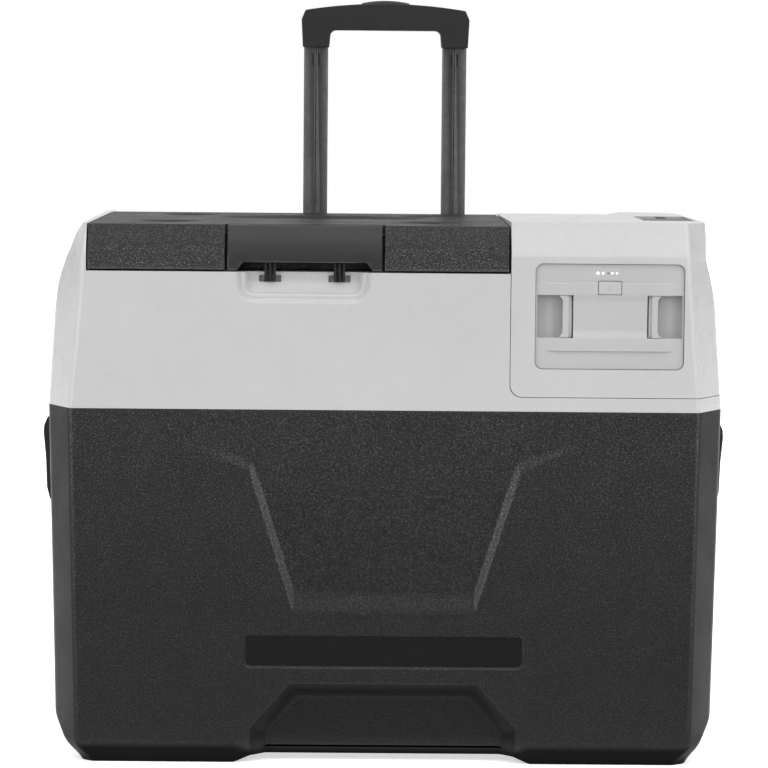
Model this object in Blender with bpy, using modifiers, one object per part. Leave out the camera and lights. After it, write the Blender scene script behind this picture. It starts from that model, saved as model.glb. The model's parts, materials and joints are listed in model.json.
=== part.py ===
"""Compressor cooler fridge on wheels: hinged lid, slide-out battery and telescopic pull handle.

Metres, +Z up, the front faces -Y and the hinge side +Y. The origin is on the floor, under the middle
of the box that the whole fridge fills.
"""
import math

import bmesh
import bpy
from mathutils import Matrix, Vector

# ---------------------------------------------------------------- driving dimensions
GAP = 0.0003                      # air left between two pieces that touch

FRONT = -0.2160                   # plane of the front face
BACK = 0.2040                     # plane of the rear face
SEAM = 0.3500                     # joint between the dark base and the light upper body
DECK = 0.4845                     # ledge that the lid closes on
DECK_UNDERSIDE = 0.4775
LID_TOP = 0.5300
COVER_TOP = 0.5350
WALL = 0.0040

# Half widths of the plan at a height: at the sides, and of the flat front between its corner chamfers.
# z, side left, side right, front left, front right, corner depth, front inset, rear inset
BASE_RINGS = (
    (0.0000, 0.2955, 0.3000, 0.2835, 0.2850, 0.022, 0.0120, 0.0060),
    (0.0180, 0.3130, 0.3150, 0.3005, 0.3020, 0.022, 0.0000, 0.0000),
    (0.0400, 0.3250, 0.3275, 0.3010, 0.3028, 0.047, 0.0000, 0.0000),
    (SEAM, 0.3318, 0.3336, 0.3078, 0.3078, 0.047, 0.0000, 0.0000),
)
UPPER_RINGS = (
    (SEAM + GAP, 0.3318, 0.3336, 0.3078, 0.3078, 0.047, 0.0000, 0.0000),
    (0.4350, 0.3264, 0.3272, 0.2995, 0.3005, 0.047, 0.0000, 0.0000),
    (0.4530, 0.3250, 0.3260, 0.2980, 0.2990, 0.047, 0.0000, 0.0000),
    (0.4730, 0.3222, 0.3228, 0.2965, 0.2975, 0.047, 0.0000, 0.0000),
    (0.4970, 0.3142, 0.3168, 0.2962, 0.2965, 0.047, 0.0000, 0.0000),
    (0.5025, 0.3115, 0.3166, 0.2955, 0.2960, 0.047, 0.0000, 0.0000),
    (0.5200, 0.3045, 0.3160, 0.2945, 0.2948, 0.044, 0.0067, 0.0032),
    (COVER_TOP, 0.2945, 0.3145, 0.2935, 0.2935, 0.042, 0.0125, 0.0060),
)

NOTCH_DEPTH = 0.0150              # recess of the trapezoid between the front feet
NOTCH_OUTLINE = (
    (-0.132, -0.01), (-0.132, 0.036), (-0.092, 0.081), (0.092, 0.081), (0.132, 0.036), (0.132, -0.01),
)
CHANNEL_OUTLINE = ((-0.150, -0.001), (-0.129, 0.010), (0.129, 0.010), (0.150, -0.001))
EMBOSS_DEPTH = 0.0050             # hollow of the V in the base's front, fading to nothing at its top
EMBOSS_OUTLINE = ((-0.089, 0.150), (0.089, 0.150), (0.137, 0.300), (-0.137, 0.300))
EMBOSS_FLOOR = ((-0.080, 0.172), (0.080, 0.172), (0.130, 0.299), (-0.130, 0.299))
STRIP = ((-0.1375, 0.097), (0.1375, 0.129))
STRIP_DEPTH = 0.0020

COVER_LEFT = 0.1223               # left wall of the machine cover
COVER_BOTTOM = 0.3645
COVER_CORNER = 0.0120

LID_LEFT = -0.2900
LID_RIGHT = 0.1200
LID_BOTTOM = 0.4865
LID_CREASE = 0.5070
LID_LEAN = 0.0120                 # how far the lid's front leans back above the crease
LID_DEPTH = 0.3720
LID_SKIN = 0.0030
HINGE_Y = FRONT + 0.3763
HINGE_Z = 0.5220
HINGE_X = (-0.225, 0.055)
HINGE_PIN_RADIUS = 0.0020

CABIN_LOW = Vector((-0.2552, FRONT + 0.0548, 0.1000))
CABIN_HIGH = Vector((0.0872, FRONT + 0.3552, 0.4843))
CABIN_SKIN = 0.0025

LATCH_LEFT = -0.1538
LATCH_RIGHT = -0.0036
LATCH_POCKET_GAP = 0.0030
LATCH_POCKET_DEPTH = 0.0312
LATCH_PIN_Y = FRONT + 0.0200
LATCH_PIN_Z = 0.5200
LATCH_PIN_RADIUS = 0.0020
HOOK_X = (-0.1126, -0.0450)
HOOK_WIDTH = 0.0110

BATTERY_LEFT = 0.1464
BATTERY_RIGHT = 0.2910
BATTERY_BOTTOM = 0.3924
BATTERY_TOP = 0.4946
BATTERY_DEPTH = 0.0960
BATTERY_CORNER = 0.0070
GRASP_BOTTOM = 0.4226             # band of finger hollows and squeeze tabs across the battery's face
GRASP_TOP = 0.4645
GRASP_DEPTH = 0.0240
PLATE_LEFT = 0.1830
PLATE_RIGHT = 0.2552
TAB_WIDTH = 0.0090
TAB_TRAVEL = 0.0030
TAB_Y = FRONT + 0.0026

TUBE_X = 0.07465
TUBE_Y = FRONT + 0.4020
TUBE_WIDTH = 0.0260
TUBE_THICKNESS = 0.0180
TUBE_BOTTOM = 0.2900
TUBE_TOP = 0.7220
GRIP_FRONT_Y = FRONT + 0.3875
GRIP_BACK_Y = FRONT + 0.4155
GRIP_SPLIT_Y = FRONT + 0.4015
GRIP_LEG_BOTTOM = 0.7080

WHEEL_RADIUS = 0.0450
WHEEL_WIDTH = 0.0320
WHEEL_X = 0.2975
WHEEL_Y = 0.1710
AXLE_RADIUS = 0.0040
ARCH_INNER = 0.2730               # the shell's walls round each wheel arch, seen from inside
ARCH_FRONT = WHEEL_Y - 0.0565
ARCH_TOP = 0.1020

SIDE_HANDLE_FRONT = FRONT + 0.1150
SIDE_HANDLE_BACK = FRONT + 0.2850
SIDE_HANDLE_INNER = (0.3317, 0.3336)      # where the left and right handles meet their walls
SIDE_WINDOW_BOTTOM = 0.2527
SIDE_WINDOW_TOP = 0.3273

FAN_CENTRE = Vector((0.2050, FRONT + 0.3900, 0.1500))
FAN_RADIUS = 0.0550
FAN_BLADES = 7

PANEL_LOW = Vector((0.2590, FRONT + 0.100, 0.5235))
PANEL_HIGH = Vector((0.3108, FRONT + 0.238, 0.5338))
PANEL_BUTTON_X = 0.2850
PANEL_BUTTON_Y = tuple(FRONT + 0.188 + 0.013 * step for step in range(4))
PANEL_BUTTON_RADIUS = 0.0048
PANEL_RIM = 0.0016
LENS_DEPTH = (0.1019, 0.1750)             # from the front of the body to the display's ends


# ---------------------------------------------------------------- scene and materials
for old in list(bpy.data.objects):
    bpy.data.objects.remove(old, do_unlink=True)

parts = bpy.data.collections.new("compressor_cooler_fridge")
cutters = bpy.data.collections.new("cutters")
for group in (parts, cutters):
    bpy.context.scene.collection.children.link(group)

LOOKS = {                         # colour, roughness, metallic
    "base_dark": ((0.040, 0.040, 0.041), 0.60, 0.0),
    "body_light": ((0.560, 0.560, 0.565), 0.50, 0.0),
    "lid_dark": ((0.075, 0.075, 0.077), 0.62, 0.0),
    "trim_dark": ((0.050, 0.050, 0.052), 0.42, 0.0),
    "tube_dark": ((0.060, 0.060, 0.062), 0.35, 0.5),
    "liner_light": ((0.620, 0.630, 0.640), 0.35, 0.0),
    "foam": ((0.780, 0.700, 0.480), 0.90, 0.0),
    "seal": ((0.060, 0.060, 0.060), 0.85, 0.0),
    "steel": ((0.480, 0.480, 0.490), 0.35, 1.0),
    "copper": ((0.720, 0.380, 0.230), 0.30, 1.0),
    "aluminium": ((0.720, 0.730, 0.740), 0.35, 1.0),
    "black_metal": ((0.020, 0.020, 0.022), 0.40, 0.6),
    "board_green": ((0.030, 0.180, 0.070), 0.50, 0.0),
    "cell_blue": ((0.060, 0.180, 0.420), 0.40, 0.0),
    "lamp_white": ((0.900, 0.920, 0.950), 0.30, 0.0),
    "screen_black": ((0.012, 0.013, 0.015), 0.12, 0.0),
    "tyre": ((0.030, 0.030, 0.030), 0.85, 0.0),
}


def make_look(name):
    colour, roughness, metallic = LOOKS[name]
    look = bpy.data.materials.new(name)
    look.use_nodes = True
    shader = look.node_tree.nodes["Principled BSDF"]
    shader.inputs["Base Color"].default_value = (*colour, 1.0)
    shader.inputs["Roughness"].default_value = roughness
    shader.inputs["Metallic"].default_value = metallic
    return look


# ---------------------------------------------------------------- modelling helpers
def to_object(name, mesh):
    """An object that starts as a cutter; finish() makes it a part."""
    item = bpy.data.objects.new(name, mesh)
    cutters.objects.link(item)
    item.hide_render = True
    item.display_type = "WIRE"
    return item


def finish(item, name, look, smooth=False):
    """Turn a shape into a named part with its own material."""
    item.name = name
    item.data.name = name
    cutters.objects.unlink(item)
    parts.objects.link(item)
    item.hide_render = False
    item.display_type = "TEXTURED"
    material = make_look(look)
    material.name = f"{name}_{look}"
    item.data.materials.clear()
    item.data.materials.append(material)
    if smooth:
        item.data.shade_smooth()
        item.data.set_sharp_from_angle(angle=math.radians(35))
    return item


def from_bmesh(name, build):
    mesh = bpy.data.meshes.new(name)
    build.to_mesh(mesh)
    build.free()
    return to_object(name, mesh)


def blocks(name, *corners):
    """One or more boxes, each given by its lowest and highest corner."""
    build = bmesh.new()
    for low, high in corners:
        low = Vector(low)
        high = Vector(high)
        place = Matrix.Translation((low + high) / 2) @ Matrix.Diagonal((*(high - low), 1.0))
        bmesh.ops.create_cube(build, size=1.0, matrix=place)
    return from_bmesh(name, build)


def turn_to(axis):
    return Vector((0, 0, 1)).rotation_difference(Vector(axis)).to_matrix().to_4x4()


def rod(name, centre, axis, radius, length, sides=24):
    """A cylinder about an axis through its centre."""
    build = bmesh.new()
    bmesh.ops.create_cone(
        build, cap_ends=True, segments=sides, radius1=radius, radius2=radius, depth=length,
        matrix=Matrix.Translation(Vector(centre)) @ turn_to(axis),
    )
    return from_bmesh(name, build)


def prism(name, outline, axis, low, high):
    """A flat outline with a thickness. The outline lies in XZ, YZ or XY, and axis is the third letter."""
    curve = bpy.data.curves.new(name, "CURVE")
    curve.dimensions = "2D"
    curve.fill_mode = "BOTH"
    curve.extrude = (high - low) / 2
    line = curve.splines.new("POLY")
    line.points.add(len(outline) - 1)
    for point, (first, second) in zip(line.points, outline):
        point.co = (first, second, 0.0, 1.0)
    line.use_cyclic_u = True
    flat = to_object(name, curve)
    middle = (low + high) / 2
    columns = {
        "Y": ((1, 0, 0, 0), (0, 0, -1, middle), (0, 1, 0, 0)),
        "X": ((0, 0, 1, middle), (1, 0, 0, 0), (0, 1, 0, 0)),
        "Z": ((1, 0, 0, 0), (0, 1, 0, 0), (0, 0, 1, middle)),
    }
    flat.matrix_world = Matrix((*columns[axis], (0, 0, 0, 1)))
    bpy.context.view_layer.update()
    mesh = bpy.data.meshes.new_from_object(flat.evaluated_get(bpy.context.evaluated_depsgraph_get()))
    build = bmesh.new()
    build.from_mesh(mesh)
    bmesh.ops.remove_doubles(build, verts=build.verts, dist=0.00001)
    build.transform(flat.matrix_world)
    bmesh.ops.recalc_face_normals(build, faces=build.faces)
    bpy.data.objects.remove(flat, do_unlink=True)
    return from_bmesh(name, build)


def rounded(low, high, radius, steps=4):
    """Outline of a rectangle with round corners."""
    corners = (
        (high[0] - radius, high[1] - radius, 0),
        (low[0] + radius, high[1] - radius, 90),
        (low[0] + radius, low[1] + radius, 180),
        (high[0] - radius, low[1] + radius, 270),
    )
    points = []
    for x, y, start in corners:
        for step in range(steps + 1):
            angle = math.radians(start + 90 * step / steps)
            points.append((x + radius * math.cos(angle), y + radius * math.sin(angle)))
    return points


def loft(name, rings):
    """A closed skin through rings of points, with flat ends."""
    build = bmesh.new()
    rows = [[build.verts.new(point) for point in ring] for ring in rings]
    count = len(rows[0])
    for lower, upper in zip(rows, rows[1:]):
        for this in range(count):
            following = (this + 1) % count
            build.faces.new((lower[this], lower[following], upper[following], upper[this]))
    build.faces.new(rows[0][::-1])
    build.faces.new(rows[-1])
    bmesh.ops.recalc_face_normals(build, faces=build.faces)
    return from_bmesh(name, build)


def turned(name, profile, centre, axis, sides=32):
    """A profile of (radius, height) pairs, top to bottom, turned about an axis."""
    build = bmesh.new()
    points = [build.verts.new((radius, 0, height)) for radius, height in profile]
    for first, second in zip(points, points[1:]):
        build.edges.new((first, second))
    item = from_bmesh(name, build)
    screw = item.modifiers.new("Screw", "SCREW")
    screw.steps = sides
    screw.render_steps = sides
    screw.use_merge_vertices = True
    screw.merge_threshold = 0.00001
    item.matrix_world = Matrix.Translation(Vector(centre)) @ turn_to(axis)
    return item


def pipe(name, points, radius, look):
    """A bent tube along a smooth path."""
    curve = bpy.data.curves.new(name, "CURVE")
    curve.dimensions = "3D"
    curve.bevel_depth = radius
    curve.bevel_resolution = 2
    curve.use_fill_caps = True
    line = curve.splines.new("POLY")
    line.points.add(len(points) - 1)
    for point, place in zip(line.points, points):
        point.co = (*place, 1.0)
    item = to_object(name, curve)
    return finish(item, name, look)


def bend(corners, radius, steps=4):
    """Points along straight runs between corners, with each corner rounded."""
    points = [Vector(corners[0])]
    for before, corner, after in zip(corners, corners[1:], corners[2:]):
        corner = Vector(corner)
        start = corner + (Vector(before) - corner).normalized() * radius
        end = corner + (Vector(after) - corner).normalized() * radius
        for step in range(steps + 1):
            along = step / steps
            points.append(start.lerp(corner, along).lerp(corner.lerp(end, along), along))
    points.append(Vector(corners[-1]))
    return points


def change(item, operation, *others):
    for other in others:
        boolean = item.modifiers.new(other.name, "BOOLEAN")
        boolean.operation = operation
        boolean.object = other
        boolean.solver = "EXACT"
    return item


def cut(item, *others):
    return change(item, "DIFFERENCE", *others)


def join(item, *others):
    return change(item, "UNION", *others)


def keep(item, other):
    return change(item, "INTERSECT", other)


def plan_ring(row, shrink=0.0):
    """The eight corners of the body's plan at one height."""
    z, side_left, side_right, front_left, front_right, corner, inset_front, inset_back = row
    low = FRONT + shrink
    high = BACK - shrink
    chamfer = shrink * 0.4
    left = -side_left + shrink
    right = side_right - shrink
    return [
        (left, low + corner, z),
        (-front_left + chamfer, low + inset_front, z),
        (front_right - chamfer, low + inset_front, z),
        (right, low + corner, z),
        (right, high - corner, z),
        (front_right - chamfer, high - inset_back, z),
        (-front_left + chamfer, high - inset_back, z),
        (left, high - corner, z),
    ]


def hull(name, rows, shrink=0.0):
    return loft(name, [plan_ring(row, shrink) for row in rows])


def at_height(row, z):
    return (z, *row[1:])


# ---------------------------------------------------------------- base
def arch_cutter(side):
    centre = (side * (WHEEL_X + 0.0045), WHEEL_Y, WHEEL_RADIUS)
    arch = rod("arch", centre, (1, 0, 0), WHEEL_RADIUS + 0.007, 0.050, 32)
    edges = sorted((side * 0.277, side * 0.340))
    return arch, blocks(
        "arch_side",
        ((edges[0], WHEEL_Y - 0.040, -0.01), (edges[1], BACK + 0.02, 0.060)),
    )


def make_lower_shell():
    shell = hull("base_outer", BASE_RINGS)
    hollow_rows = [
        at_height(BASE_RINGS[0], 0.0140), at_height(BASE_RINGS[1], 0.0240),
        BASE_RINGS[2], at_height(BASE_RINGS[3], SEAM + 0.01),
    ]
    hollow = hull("base_hollow", hollow_rows, WALL)
    bosses = blocks(
        "base_bosses",
        ((-0.140, FRONT - 0.01, 0.0), (0.140, FRONT + 0.0195, 0.086)),
        ((-0.145, FRONT - 0.01, 0.094), (0.145, FRONT + 0.0070, 0.132)),
        ((-0.210, FRONT - 0.01, 0.140), (0.210, FRONT + 0.0095, 0.330)),
        ((-0.340, ARCH_FRONT, 0.0), (-ARCH_INNER, BACK + 0.01, ARCH_TOP)),
        ((ARCH_INNER, ARCH_FRONT, 0.0), (0.340, BACK + 0.01, ARCH_TOP)),
    )
    cut(hollow, bosses)
    emboss = loft("emboss", [
        [(x, FRONT - 0.001, z) for x, z in EMBOSS_OUTLINE],
        [(x, FRONT + EMBOSS_DEPTH * (0.3025 - z) / 0.1305, z) for x, z in EMBOSS_FLOOR],
    ])
    cut(
        shell,
        hollow,
        prism("notch", NOTCH_OUTLINE, "Y", FRONT - 0.01, FRONT + NOTCH_DEPTH),
        prism("channel", CHANNEL_OUTLINE, "Y", FRONT - 0.01, BACK + 0.01),
        prism("strip", rounded(*STRIP, 0.004), "Y", FRONT - 0.01, FRONT + STRIP_DEPTH),
        emboss,
        blocks("rear_rise", ((-0.340, 0.090, -0.01), (0.340, BACK + 0.01, 0.0120))),
        rod("axle_hole", (0, WHEEL_Y, WHEEL_RADIUS), (1, 0, 0), AXLE_RADIUS + GAP, 0.66, 16),
        blocks("side_grille_window", ((0.320, FRONT + 0.120, 0.095), (0.340, FRONT + 0.260, 0.200))),
        blocks("rear_grille_window", ((0.150, BACK - 0.010, 0.090), (0.280, BACK + 0.010, 0.215))),
    )
    for side in (-1, 1):
        cut(shell, *arch_cutter(side))
        window = sorted((side * 0.322, side * 0.340))
        cut(shell, blocks("handle_window", (
            (window[0], SIDE_HANDLE_FRONT + 0.0047, SIDE_WINDOW_BOTTOM),
            (window[1], SIDE_HANDLE_BACK - 0.0047, SIDE_WINDOW_TOP),
        )))
    finish(shell, "lower_shell", "base_dark")


def make_side_handle(name, side, inner):
    """A grab handle: a lip outside the wall, and a cup behind it that the fingers reach into."""
    wedge = (
        (inner, 0.3330), (0.3395, 0.3320), (0.3432, 0.3200), (0.3412, 0.2750), (0.3395, 0.2560),
        (0.3365, 0.2460), (inner - 0.0017, 0.2460),
    )
    cup_inner = inner - 0.0282
    pocket_inner = inner - 0.0257
    pocket = (
        (pocket_inner, 0.2560), (0.3600, 0.2560), (0.3600, 0.3070),
        (0.3385, 0.3070), (0.3385, 0.3235), (pocket_inner, 0.3235),
    )
    lip = prism("lip", [(side * x, z) for x, z in wedge], "Y", SIDE_HANDLE_FRONT, SIDE_HANDLE_BACK)
    edges = sorted((side * cup_inner, side * (inner + 0.0013)))
    cup = blocks("cup", (
        (edges[0], SIDE_HANDLE_FRONT + 0.005, SIDE_WINDOW_BOTTOM + GAP),
        (edges[1], SIDE_HANDLE_BACK - 0.005, SIDE_WINDOW_TOP - GAP),
    ))
    hollow = prism(
        "hollow", [(side * x, z) for x, z in pocket], "Y",
        SIDE_HANDLE_FRONT + 0.0080, SIDE_HANDLE_BACK - 0.0080,
    )
    cut(join(lip, cup), hollow)
    finish(lip, name, "trim_dark")


def louvre(name, low, high, slot_axis, count):
    """A panel with a row of slots through it, one above the other."""
    panel = blocks("panel", (low, high))
    step = (high[2] - low[2] - 0.012) / count
    slots = []
    for number in range(count):
        z = low[2] + 0.006 + step * (number + 0.2)
        first = Vector((low[0] - 0.01, low[1] + 0.006, z))
        last = Vector((high[0] + 0.01, high[1] - 0.006, z + step * 0.6))
        if slot_axis == "Y":
            first = Vector((low[0] + 0.006, low[1] - 0.01, z))
            last = Vector((high[0] - 0.006, high[1] + 0.01, z + step * 0.6))
        slots.append((first, last))
    cut(panel, blocks("slots", *slots))
    finish(panel, name, "trim_dark")


# ---------------------------------------------------------------- upper body
def cover_zone(name, grow, bottom):
    """Everything right of the machine cover's left edge, with its round lower corner."""
    outline = [(COVER_LEFT - grow, 0.60), (0.40, 0.60), (0.40, bottom), (COVER_LEFT + COVER_CORNER, bottom)]
    for step in range(1, 5):
        angle = math.radians(270 - 90 * step / 4)
        radius = COVER_CORNER + grow
        centre = (COVER_LEFT + COVER_CORNER, bottom + radius)
        outline.append((centre[0] + radius * math.cos(angle), centre[1] + radius * math.sin(angle)))
    return prism(name, outline, "Y", FRONT - 0.02, BACK + 0.02)


def make_upper_shell():
    shell = hull("upper_outer", UPPER_RINGS)
    deck_row = at_height(UPPER_RINGS[3], DECK_UNDERSIDE)
    hollow_rows = [at_height(UPPER_RINGS[0], SEAM - 0.01), *UPPER_RINGS[1:3], deck_row]
    hollow = hull("upper_hollow", hollow_rows, WALL)
    cut(hollow, blocks("recess_boss", ((-0.155, FRONT - 0.01, 0.440), (-0.004, FRONT + 0.0200, 0.490))))
    machine_side = cover_zone("machine_side", GAP * 2, COVER_BOTTOM - GAP * 2)
    slots = [
        ((x - 0.0108, FRONT, 0.4745), (x + 0.0108, FRONT + 0.0240, 0.4812))
        for x in HOOK_X
    ]
    cut(
        shell,
        hollow,
        machine_side,
        blocks("lid_zone", ((-0.2915, FRONT - 0.01, DECK), (0.140, FRONT + 0.3822, 0.60))),
        blocks("rim_zone", ((-0.2915, FRONT + 0.380, 0.5140), (0.140, BACK + 0.01, 0.60))),
        blocks("left_rim_top", ((-0.340, FRONT - 0.01, LID_TOP), (-0.280, BACK + 0.01, 0.60))),
        blocks("flange_seat", (
            (CABIN_LOW.x - 0.0208, CABIN_LOW.y - 0.0178, 0.4815),
            (CABIN_HIGH.x + 0.0208, CABIN_HIGH.y + 0.0148, 0.50),
        )),
        blocks("cabin_hole", (
            (CABIN_LOW.x - 0.0028, CABIN_LOW.y - 0.0028, 0.40),
            (CABIN_HIGH.x + 0.0028, CABIN_HIGH.y + 0.0028, 0.50),
        )),
        blocks("grip_pocket", ((-0.0980, FRONT + 0.3852, 0.440), (0.0980, FRONT + 0.4170, 0.60))),
        blocks(
            "rear_saving",
            ((-0.2850, FRONT + 0.386, 0.46), (-0.1010, FRONT + 0.416, 0.511)),
        ),
        prism(
            "latch_recess", rounded((-0.1450, 0.4550), (-0.0140, 0.5200), 0.016), "Y",
            FRONT - 0.01, FRONT + 0.0110,
        ),
        blocks("hook_slots", *slots),
    )
    finish(shell, "upper_shell", "body_light")


def make_machine_cover():
    cover = hull("cover_outer", UPPER_RINGS)
    roof_row = at_height(UPPER_RINGS[7], COVER_TOP - WALL)
    hollow_rows = [at_height(UPPER_RINGS[0], SEAM - 0.01), *UPPER_RINGS[1:7], roof_row]
    hollow = hull("cover_hollow", hollow_rows, WALL)
    cut(hollow, blocks("left_of_wall", ((-0.40, -0.30, 0.30), (COVER_LEFT + 0.0035, 0.30, 0.60))))
    keep(cover, cover_zone("cover_keep", 0.0, COVER_BOTTOM))
    battery_window = rounded(
        (BATTERY_LEFT - 0.0006, BATTERY_BOTTOM - 0.0006), (BATTERY_RIGHT + 0.0006, BATTERY_TOP + 0.0006),
        BATTERY_CORNER + 0.0006,
    )
    cut(
        cover,
        hollow,
        prism("battery_window", battery_window, "Y", FRONT - 0.01, FRONT + 0.020),
        blocks("panel_window", (PANEL_LOW - Vector((GAP, GAP, 0.01)), PANEL_HIGH + Vector((GAP, GAP, 0.02)))),
        blocks("inlet_window", ((0.2097, BACK - 0.012, 0.3997), (0.2503, BACK + 0.012, 0.4303))),
    )
    finish(cover, "machine_cover", "body_light")


def make_lid():
    def side_outline(skin):
        return (
            (FRONT + skin, LID_BOTTOM),
            (FRONT + skin, LID_CREASE - skin * 0.2),
            (FRONT + LID_LEAN + skin * 0.9, LID_TOP - skin),
            (FRONT + LID_DEPTH - 0.005 - skin * 0.5, LID_TOP - skin),
            (FRONT + LID_DEPTH - skin, LID_TOP - 0.005 - skin * 0.5),
            (FRONT + LID_DEPTH - skin, LID_BOTTOM),
        )

    cover = prism("lid_outer", side_outline(0.0), "X", LID_LEFT, LID_RIGHT)
    inner = [(y, z if z > LID_BOTTOM else LID_BOTTOM - 0.01) for y, z in side_outline(LID_SKIN)]
    hollow = prism("lid_hollow", inner, "X", LID_LEFT + LID_SKIN, LID_RIGHT - LID_SKIN)
    pocket_left = LATCH_LEFT - LATCH_POCKET_GAP
    pocket_right = LATCH_RIGHT + LATCH_POCKET_GAP
    pocket_back = FRONT + LATCH_POCKET_DEPTH
    cut(hollow, blocks("pocket_boss", (
        (pocket_left - LID_SKIN, FRONT - 0.02, 0.40),
        (pocket_right + LID_SKIN, pocket_back + LID_SKIN, 0.60),
    )))
    dishes = [(-0.215, 0.105), (-0.205, 0.300), (0.045, 0.105), (0.045, 0.300)]
    cut(
        cover,
        hollow,
        blocks("pocket", ((pocket_left, FRONT - 0.02, 0.40), (pocket_right, pocket_back, 0.60))),
        *[
            rod("dish", (x, FRONT + depth, LID_TOP + 0.0035), (0, 0, 1), 0.033, 0.010, 32)
            for x, depth in dishes
        ],
    )
    for x in HINGE_X:
        join(cover, rod("knuckle", (x, HINGE_Y, HINGE_Z), (1, 0, 0), 0.0055, 0.034, 16))
        cut(cover, rod("bore", (x, HINGE_Y, HINGE_Z), (1, 0, 0), HINGE_PIN_RADIUS + GAP, 0.050, 16))
    pin_x = (LATCH_LEFT + LATCH_RIGHT) / 2
    cut(cover, rod(
        "latch_pin_hole", (pin_x, LATCH_PIN_Y, LATCH_PIN_Z), (1, 0, 0), LATCH_PIN_RADIUS + GAP,
        pocket_right - pocket_left + 2 * LID_SKIN - 0.002, 16,
    ))
    finish(cover, "lid_cover", "lid_dark")

    pin_length = pocket_right - pocket_left + 0.003
    pin = rod("pin", (pin_x, LATCH_PIN_Y, LATCH_PIN_Z), (1, 0, 0), LATCH_PIN_RADIUS, pin_length)
    finish(pin, "latch_pin", "steel", True)

    plate_bottom = LID_BOTTOM + 0.0033
    edge = LID_SKIN + GAP
    panel = blocks("panel_plate", (
        (LID_LEFT + edge, FRONT + edge, plate_bottom),
        (LID_RIGHT - edge, FRONT + LID_DEPTH - edge, plate_bottom + 0.003),
    ))
    plug_low = Vector((CABIN_LOW.x + 0.005, CABIN_LOW.y + 0.005, 0.4740))
    plug_high = Vector((CABIN_HIGH.x - 0.005, CABIN_HIGH.y - 0.005, plate_bottom + 0.001))
    skin = Vector((LID_SKIN, LID_SKIN, LID_SKIN))
    tub_low = plug_low + skin
    tub_high = Vector((plug_high.x - LID_SKIN, plug_high.y - LID_SKIN, 0.60))
    join(panel, blocks("plug", (plug_low, plug_high)))
    cut(
        panel,
        blocks("tub", (tub_low, tub_high)),
        blocks("panel_notch", (
            (pocket_left - edge, FRONT - 0.01, 0.40), (pocket_right + edge, pocket_back + edge, 0.60),
        )),
    )
    finish(panel, "lid_panel", "liner_light")

    foam = blocks("foam_slab", (
        (LID_LEFT + 0.0035, pocket_back + LID_SKIN + 0.001, plate_bottom + 0.0033),
        (LID_RIGHT - 0.0035, FRONT + LID_DEPTH - 0.010, 0.5230),
    ))
    foam_gap = Vector((GAP, GAP, GAP))
    foam_high = (tub_high.x - GAP, tub_high.y - GAP, plate_bottom + 0.005)
    join(foam, blocks("foam_plug", (tub_low + foam_gap, foam_high)))
    finish(foam, "lid_foam", "foam")

    gasket = blocks("gasket", (
        (CABIN_LOW.x - 0.0178, CABIN_LOW.y - 0.0150, DECK + GAP),
        (CABIN_HIGH.x + 0.0178, CABIN_HIGH.y + 0.0120, plate_bottom - GAP),
    ))
    cut(gasket, blocks("gasket_hole", (
        (CABIN_LOW.x - 0.0078, CABIN_LOW.y - 0.0050, 0.40),
        (CABIN_HIGH.x + 0.0078, CABIN_HIGH.y + 0.0040, 0.60),
    )))
    finish(gasket, "lid_gasket", "seal")


def make_hinge(name, x):
    """A bracket with two ears on the rear ledge, and the pin through them and the lid's knuckle."""
    ears = []
    low_y = HINGE_Y - 0.0037
    high_y = HINGE_Y + 0.0037
    foot_z = DECK + GAP
    for side in (-1, 1):
        middle = x + side * 0.0200
        ears.append(((middle - 0.0025, low_y, foot_z), (middle + 0.0025, high_y, HINGE_Z)))
    bracket = blocks("foot", ((x - 0.0225, low_y, foot_z), (x + 0.0225, high_y, foot_z + 0.003)))
    for side, ear in zip((-1, 1), ears):
        join(bracket, blocks("ear", ear))
        join(bracket, rod("ear_top", (x + side * 0.0200, HINGE_Y, HINGE_Z), (1, 0, 0), 0.0037, 0.005, 20))
    cut(bracket, rod("bore", (x, HINGE_Y, HINGE_Z), (1, 0, 0), HINGE_PIN_RADIUS + GAP, 0.060, 16))
    finish(bracket, f"hinge_bracket_{name}", "steel")
    pin = rod("pin", (x, HINGE_Y, HINGE_Z), (1, 0, 0), HINGE_PIN_RADIUS, 0.048, 16)
    finish(pin, f"hinge_pin_{name}", "steel", True)


def make_latch_spring(middle):
    """A torsion coil round the latch pin, with one leg forward and one leg back."""
    turns = 4.5
    steps = int(turns * 10)
    coil_radius = 0.0030
    length = 0.0070
    points = [(middle - length / 2, LATCH_PIN_Y - 0.0060, LATCH_PIN_Z + coil_radius)]
    for step in range(steps + 1):
        angle = math.pi / 2 + math.tau * turns * step / steps
        x = middle - length / 2 + length * step / steps
        points.append((
            x, LATCH_PIN_Y + coil_radius * math.cos(angle), LATCH_PIN_Z + coil_radius * math.sin(angle),
        ))
    points.append((middle + length / 2, LATCH_PIN_Y + 0.0060, LATCH_PIN_Z - coil_radius))
    pipe("latch_spring", points, 0.0005, "steel")


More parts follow.
